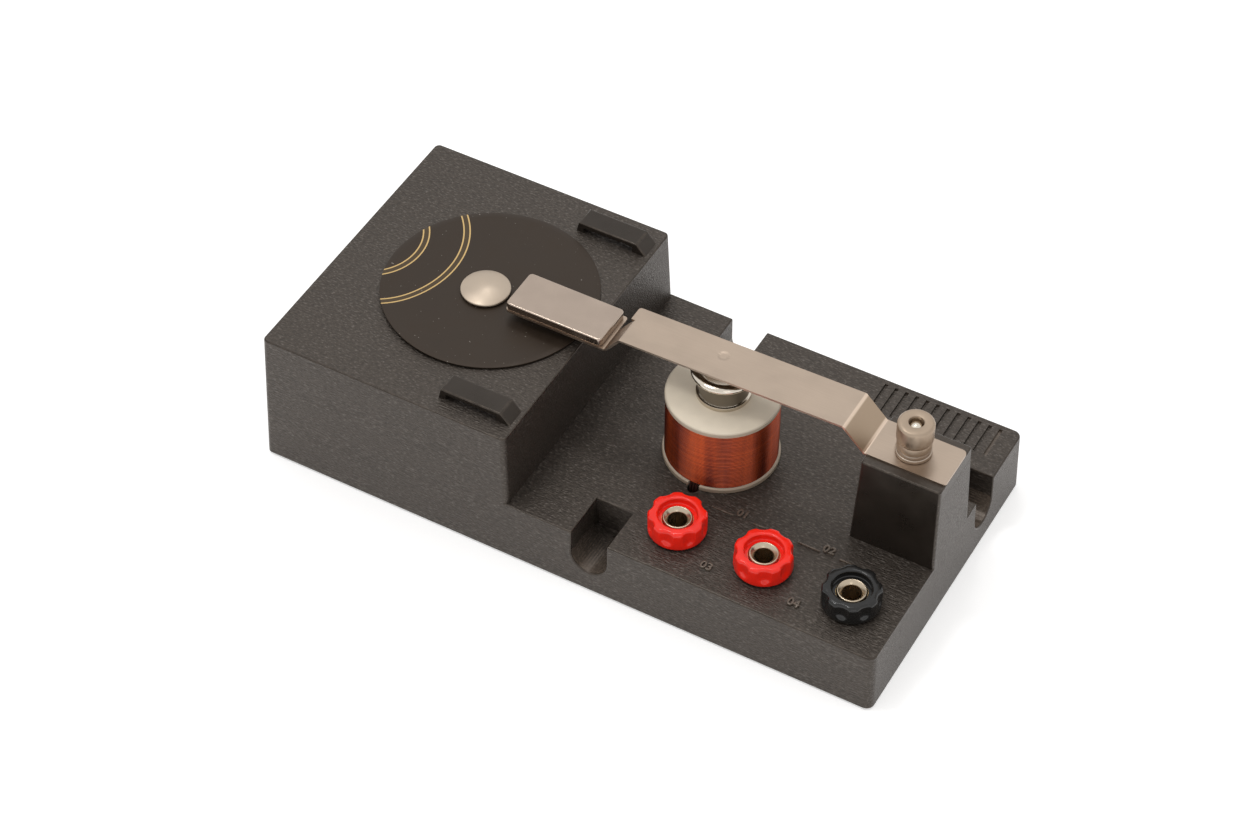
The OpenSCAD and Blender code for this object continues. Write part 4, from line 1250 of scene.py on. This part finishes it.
class TICKER_OT_disc(bpy.types.Operator):
    """Turn the carbon disc, curl its edge a little and print its gold arcs"""
    bl_idname = "ticker.disc"
    bl_label = "Carbon disc"

    def execute(self, context):
        settings = context.scene.ticker_disc
        disc = box("carbon_disc")
        radius = disc.size.x / 2 / MM
        height = disc.size.z / MM
        centre = foot_of("carbon_disc")
        rings = 16
        under = [(radius * ring / rings, 0) for ring in range(rings + 1)]
        over = [(at, height) for at, _ in reversed(under)]
        piece = turned("disc", centre, under + over, steps=144)
        soften(piece, 0.06 * MM, angle=50)
        self.curl(piece, centre, settings.curl, radius * MM)
        shade(piece, 40, weighted=False)
        fit(piece, "disc", "carbon", finish_of("carbon_paper", carbon_paper), "carbon_disc")
        return {"FINISHED"}

    def curl(self, piece, centre, curl, radius):
        """Lift the rim at the front left, by degrees, in rings and wedges."""
        flat = 0.72
        towards = math.radians(-128)
        spread = math.radians(75)
        for vertex in piece.data.vertices:
            away = vertex.co - centre
            rim = max(0.0, math.hypot(away.x, away.y) / radius - flat) / (1 - flat)
            angle = math.atan2(away.y, away.x) - towards
            angle = math.atan2(math.sin(angle), math.cos(angle))
            if abs(angle) < spread:
                vertex.co.z += curl * rim ** 2 * math.cos(angle / spread * math.pi / 2) ** 2


class TICKER_OT_pin(bpy.types.Operator):
    """Turn the drawing pin with its domed head"""
    bl_idname = "ticker.pin"
    bl_label = "Disc pin"

    def execute(self, context):
        plate = context.scene.ticker_disc.pin
        pin = box("disc_pin")
        radius = pin.size.x / 2 / MM
        top = pin.size.z / MM
        edge = top - 1.7
        shank = 0.75
        dome = 1.2
        ball = (radius ** 2 + dome ** 2) / (2 * dome)
        sweep = math.degrees(math.asin(radius / ball))
        profile = [(0, 0), (0.2, 0), (shank, 1), (shank, edge), (radius, edge)]
        profile += arc(0, top - ball, ball, 90 - sweep, 90, 16)
        piece = turned("pin", foot_of("disc_pin"), profile)
        soften(piece, 0.16 * MM, segments=3, angle=50)
        shade(piece, 45, weighted=False)
        material = finish_of("pin_plate", lambda name: plated_metal(name, plate, 0.41))
        fit(piece, "pin", "pin", material, "disc_pin")
        return {"FINISHED"}


# ---- the sockets ----

class TICKER_OT_stems(bpy.types.Operator):
    """Turn a plated socket tube, and copy it to the three sockets"""
    bl_idname = "ticker.stems"
    bl_label = "Socket tubes"

    def execute(self, context):
        plate = context.scene.ticker_sockets.stem
        stem = box("socket_stem_1")
        top = stem.size.z / MM
        flange = height_mm("socket_stem_1", box("cap_ring_1").lo.z) - 0.05
        flange_r = stem.size.x / 2 / MM
        tube = 3.2
        bore = 2.0
        mouth = 2.75
        floor = top - 13
        profile = [
            (0, 0), (tube - 0.3, 0), (tube, 0.3), (tube, flange - 0.7), (flange_r, flange - 0.7),
            (flange_r, flange), (tube, flange), (tube, top - 0.25), (tube - 0.22, top),
            (mouth, top), (bore + 0.05, top - 0.72), (bore, top - 0.9), (bore, floor), (0, floor)]
        first = turned("stem_1", foot_of("socket_stem_1"), profile)
        soften(first, 0.08 * MM, angle=25)
        shade(first, 40, weighted=False)
        material = finish_of("stem_plate", lambda name: plated_metal(name, plate, 0.25))
        for index in SOCKETS:
            piece = copied_to_socket(first, "stem", index)
            fit(piece, "base", "stem", material, f"socket_stem_{index}")
            paint(frame["nodes"][f"cap_ring_{index}"], brass())
        return {"FINISHED"}


def copied_to_socket(first, name, index, turn=0):
    """The first socket's piece itself, or a copy with its own mesh at another socket."""
    if index == SOCKETS[0]:
        return first
    make_active(first)
    bpy.ops.object.duplicate(linked=False)
    home = box(f"socket_stem_{SOCKETS[0]}").middle
    there = box(f"socket_stem_{index}").middle
    if turn:
        bpy.ops.transform.rotate(value=turn, orient_axis="Z", center_override=home)
    bpy.ops.transform.translate(value=there - home)
    return settle(f"{name}_{index}")


class TICKER_OT_caps(bpy.types.Operator):
    """Turn a cap, press its scallops and copy it to the three sockets"""
    bl_idname = "ticker.caps"
    bl_label = "Scalloped caps"

    def execute(self, context):
        settings = context.scene.ticker_sockets
        cap = box("socket_cap_1")
        ring = box("cap_ring_1")
        top = cap.size.z / MM
        radius = 6.2
        edge = 0.75
        skirt = 5.0
        mouth = 4.1
        thread = 4.55
        web = 3.32
        seat = height_mm("socket_cap_1", ring.hi.z) + 0.05
        under_ring = height_mm("socket_cap_1", ring.lo.z) - 0.05
        wall_steps = 12
        wall = [(radius, 0.35 + (top - edge - 0.35) * step / wall_steps)
                for step in range(wall_steps)]
        profile = [(skirt, 0), (radius - 0.35, 0), (radius - 0.1, 0.1)] + wall
        profile += arc(radius - edge, top - edge, edge, 0, 90, 8)
        profile += arc(mouth + 0.35, top - 0.35, 0.35, 90, 180, 5)
        profile += [
            (mouth, seat + 0.3), (mouth - 0.15, seat + 0.15), (web, seat + 0.15), (web, seat),
            (thread, seat), (thread, under_ring), (skirt, under_ring)]
        first = turned("cap_1", foot_of("socket_cap_1"), profile, steps=160)
        self.press_scallops(first, cap, radius * MM, settings)
        shade(first, 40, weighted=False)
        pitch = 2 * math.pi / settings.scallops
        caps = [copied_to_socket(first, "cap", index, pitch / 2 if index == 2 else 0)
                for index in SOCKETS]
        finishes = (("cap_red", settings.red), ("cap_red", settings.red),
                    ("cap_black", settings.black))
        for index, piece, (slot, base) in zip(SOCKETS, caps, finishes):
            material = finish_of(f"gloss_{slot}", lambda name: gloss_plastic(name, base))
            fit(piece, f"cap_{index}", slot, material, f"socket_cap_{index}")
        return {"FINISHED"}

    def press_scallops(self, piece, cap, radius, settings):
        """Draw the outside in to upright scallops, each of which ends below in a ball."""
        count = settings.scallops
        ball = settings.scallop
        away = radius - settings.scallop_depth + ball
        foot = cap.lo.z + 0.85 * MM
        ball_z = foot + math.sqrt(ball ** 2 - (ball - settings.scallop_depth) ** 2)
        first = math.radians(51.5)
        inside = 4.75 * MM
        crest = 0.09 * MM
        for vertex in piece.data.vertices:
            x = vertex.co.x - cap.middle.x
            y = vertex.co.y - cap.middle.y
            out = math.hypot(x, y)
            if out < inside:
                continue
            turn = (math.atan2(y, x) - first) * count / (2 * math.pi)
            angle = (turn - round(turn)) * 2 * math.pi / count
            reach_2 = ball ** 2 - max(0.0, ball_z - vertex.co.z) ** 2
            side_2 = reach_2 - (away * math.sin(angle)) ** 2
            if side_2 <= 0:
                continue
            cut = away * math.cos(angle) - math.sqrt(side_2)
            over = (radius - cut) / crest
            depth = crest * (math.log1p(math.exp(-abs(over))) + max(over, 0.0))
            depth -= crest * math.exp(-abs(over)) * math.log(2) * (over <= 0)
            share = (out - inside) / (radius - inside)
            scale = (out - depth * share) / out
            vertex.co.x = cap.middle.x + x * scale
            vertex.co.y = cap.middle.y + y * scale


class TICKER_OT_inside(bpy.types.Operator):
    """Finish the small parts under the deck"""
    bl_idname = "ticker.inside"
    bl_label = "Parts under the deck"

    def execute(self, context):
        black = finish_of("bush_black", lambda name: gloss_plastic(name, (0.02, 0.02, 0.02)))
        finishes = {
            "core_washer": zinc(), "core_nut": zinc(), "solder_tags": zinc(),
            "socket_nuts": brass(), "socket_bushes": black,
        }
        for node, material in finishes.items():
            paint(frame["nodes"][node], material)
        return {"FINISHED"}


# ---- the stage ----

class TICKER_OT_stage(bpy.types.Operator):
    """Set the pale floor, the soft light and the camera"""
    bl_idname = "ticker.stage"
    bl_label = "Floor, light and camera"

    def execute(self, context):
        settings = context.scene.ticker_stage
        scene = context.scene
        for thing in list(bpy.data.objects):
            if thing.type in {"CAMERA", "LIGHT"} or thing.name == "Cube":
                bpy.data.objects.remove(thing)
        scene.view_settings.view_transform = "Standard"
        self.floor()
        self.sky(scene, settings)
        lamps = (
            ((-0.28, -0.15, 0.86), 0.18, settings.lamp),
            ((-0.186, 0.337, 0.87), 0.15, settings.back),
            ((0.40, -0.52, 0.34), 0.22, settings.fill),
        )
        for place, size, power in lamps:
            self.lamp(place, size, power)
        deselect_all()
        bpy.ops.object.camera_add(
            location=settings.camera_place, rotation=settings.camera_turn)
        camera = bpy.context.active_object
        camera.data.lens = settings.lens
        camera.data.sensor_width = 36
        camera.data.clip_start = 0.01
        scene.camera = camera
        return {"FINISHED"}

    def seen(self, tree):
        """1 for rays that show the stage itself: straight, mirrored or through glass."""
        path = tree.nodes.new("ShaderNodeLightPath")
        shown = path.outputs["Is Camera Ray"]
        for ray in ("Is Glossy Ray", "Is Transmission Ray"):
            either = tree.nodes.new("ShaderNodeMath")
            either.operation = "MAXIMUM"
            tree.links.new(shown, either.inputs[0])
            tree.links.new(path.outputs[ray], either.inputs[1])
            shown = either.outputs[0]
        return shown

    def floor(self):
        """A wide pale floor that looks white and keeps the shadow."""
        deselect_all()
        bpy.ops.mesh.primitive_circle_add(vertices=96, radius=3, fill_type="NGON")
        floor = settle("floor")
        material = bpy.data.materials.new("pale_floor")
        material.use_nodes = True
        tree = material.node_tree
        tree.nodes.remove(tree.nodes["Principled BSDF"])
        output = tree.nodes["Material Output"]
        diffuse = tree.nodes.new("ShaderNodeBsdfDiffuse")
        diffuse.inputs["Color"].default_value = (0.82, 0.81, 0.80, 1)
        glow = tree.nodes.new("ShaderNodeEmission")
        glow.inputs["Strength"].default_value = 0.42
        both = tree.nodes.new("ShaderNodeAddShader")
        mix = tree.nodes.new("ShaderNodeMixShader")
        tree.links.new(diffuse.outputs[0], both.inputs[0])
        tree.links.new(glow.outputs[0], both.inputs[1])
        tree.links.new(self.seen(tree), mix.inputs[0])
        tree.links.new(diffuse.outputs[0], mix.inputs[1])
        tree.links.new(both.outputs[0], mix.inputs[2])
        tree.links.new(mix.outputs[0], output.inputs["Surface"])
        paint(floor, material)

    def sky(self, scene, settings):
        """Soft white light, stronger overhead, which looks full white where it shows."""
        world = bpy.data.worlds.new("sky")
        scene.world = world
        world.use_nodes = True
        tree = world.node_tree
        background = tree.nodes["Background"]
        background.inputs["Color"].default_value = (1, 1, 1, 1)
        direction = tree.nodes.new("ShaderNodeTexCoord")
        parts = tree.nodes.new("ShaderNodeSeparateXYZ")
        strength = tree.nodes.new("ShaderNodeMapRange")
        mix = tree.nodes.new("ShaderNodeMix")
        tree.links.new(direction.outputs["Generated"], parts.inputs[0])
        tree.links.new(parts.outputs["Z"], strength.inputs["Value"])
        strength.inputs["To Min"].default_value = settings.horizon
        strength.inputs["To Max"].default_value = settings.zenith
        tree.links.new(self.seen(tree), mix.inputs["Factor"])
        tree.links.new(strength.outputs[0], mix.inputs["A"])
        mix.inputs["B"].default_value = 1.0
        tree.links.new(mix.outputs[0], background.inputs["Strength"])

    def lamp(self, place, size, power):
        """A soft square lamp that points at the object."""
        deselect_all()
        turn = Vector(place).to_track_quat("Z", "Y").to_euler()
        bpy.ops.object.light_add(type="AREA", location=place, rotation=turn)
        lamp = bpy.context.active_object
        lamp.data.energy = power
        lamp.data.size = size


# ---- the add-on ----

class TICKER_PT_panel(bpy.types.Panel):
    bl_idname = "TICKER_PT_panel"
    bl_label = "Ticker timer"
    bl_space_type = "VIEW_3D"
    bl_region_type = "UI"
    bl_category = "Ticker"

    def draw(self, context):
        for name, settings in SETTINGS.items():
            column = self.layout.column(align=True)
            for key in settings.__annotations__:
                column.prop(getattr(context.scene, name), key)
        for operator in OPERATORS:
            self.layout.operator(operator.bl_idname)


SETTINGS = {
    "ticker_housing": TickerHousingSettings,
    "ticker_coil": TickerCoilSettings,
    "ticker_reed": TickerReedSettings,
    "ticker_clamp": TickerClampSettings,
    "ticker_disc": TickerDiscSettings,
    "ticker_sockets": TickerSocketSettings,
    "ticker_stage": TickerStageSettings,
}
OPERATORS = (
    TICKER_OT_stage, TICKER_OT_housing, TICKER_OT_numbers, TICKER_OT_underside,
    TICKER_OT_bobbin, TICKER_OT_winding, TICKER_OT_core, TICKER_OT_reed, TICKER_OT_magnet,
    TICKER_OT_clamp, TICKER_OT_disc, TICKER_OT_pin, TICKER_OT_stems, TICKER_OT_caps,
    TICKER_OT_inside,
)


def register():
    for cls in (*SETTINGS.values(), *OPERATORS, TICKER_PT_panel):
        bpy.utils.register_class(cls)
    for name, settings in SETTINGS.items():
        setattr(bpy.types.Scene, name, PointerProperty(type=settings))


def unregister():
    for name in SETTINGS:
        delattr(bpy.types.Scene, name)
    for cls in (TICKER_PT_panel, *reversed(OPERATORS), *SETTINGS.values()):
        bpy.utils.unregister_class(cls)


def main():
    register()
    for operator in OPERATORS:
        group, name = operator.bl_idname.split(".")
        getattr(getattr(bpy.ops, group), name)()


if __name__ == "__main__":
    main()
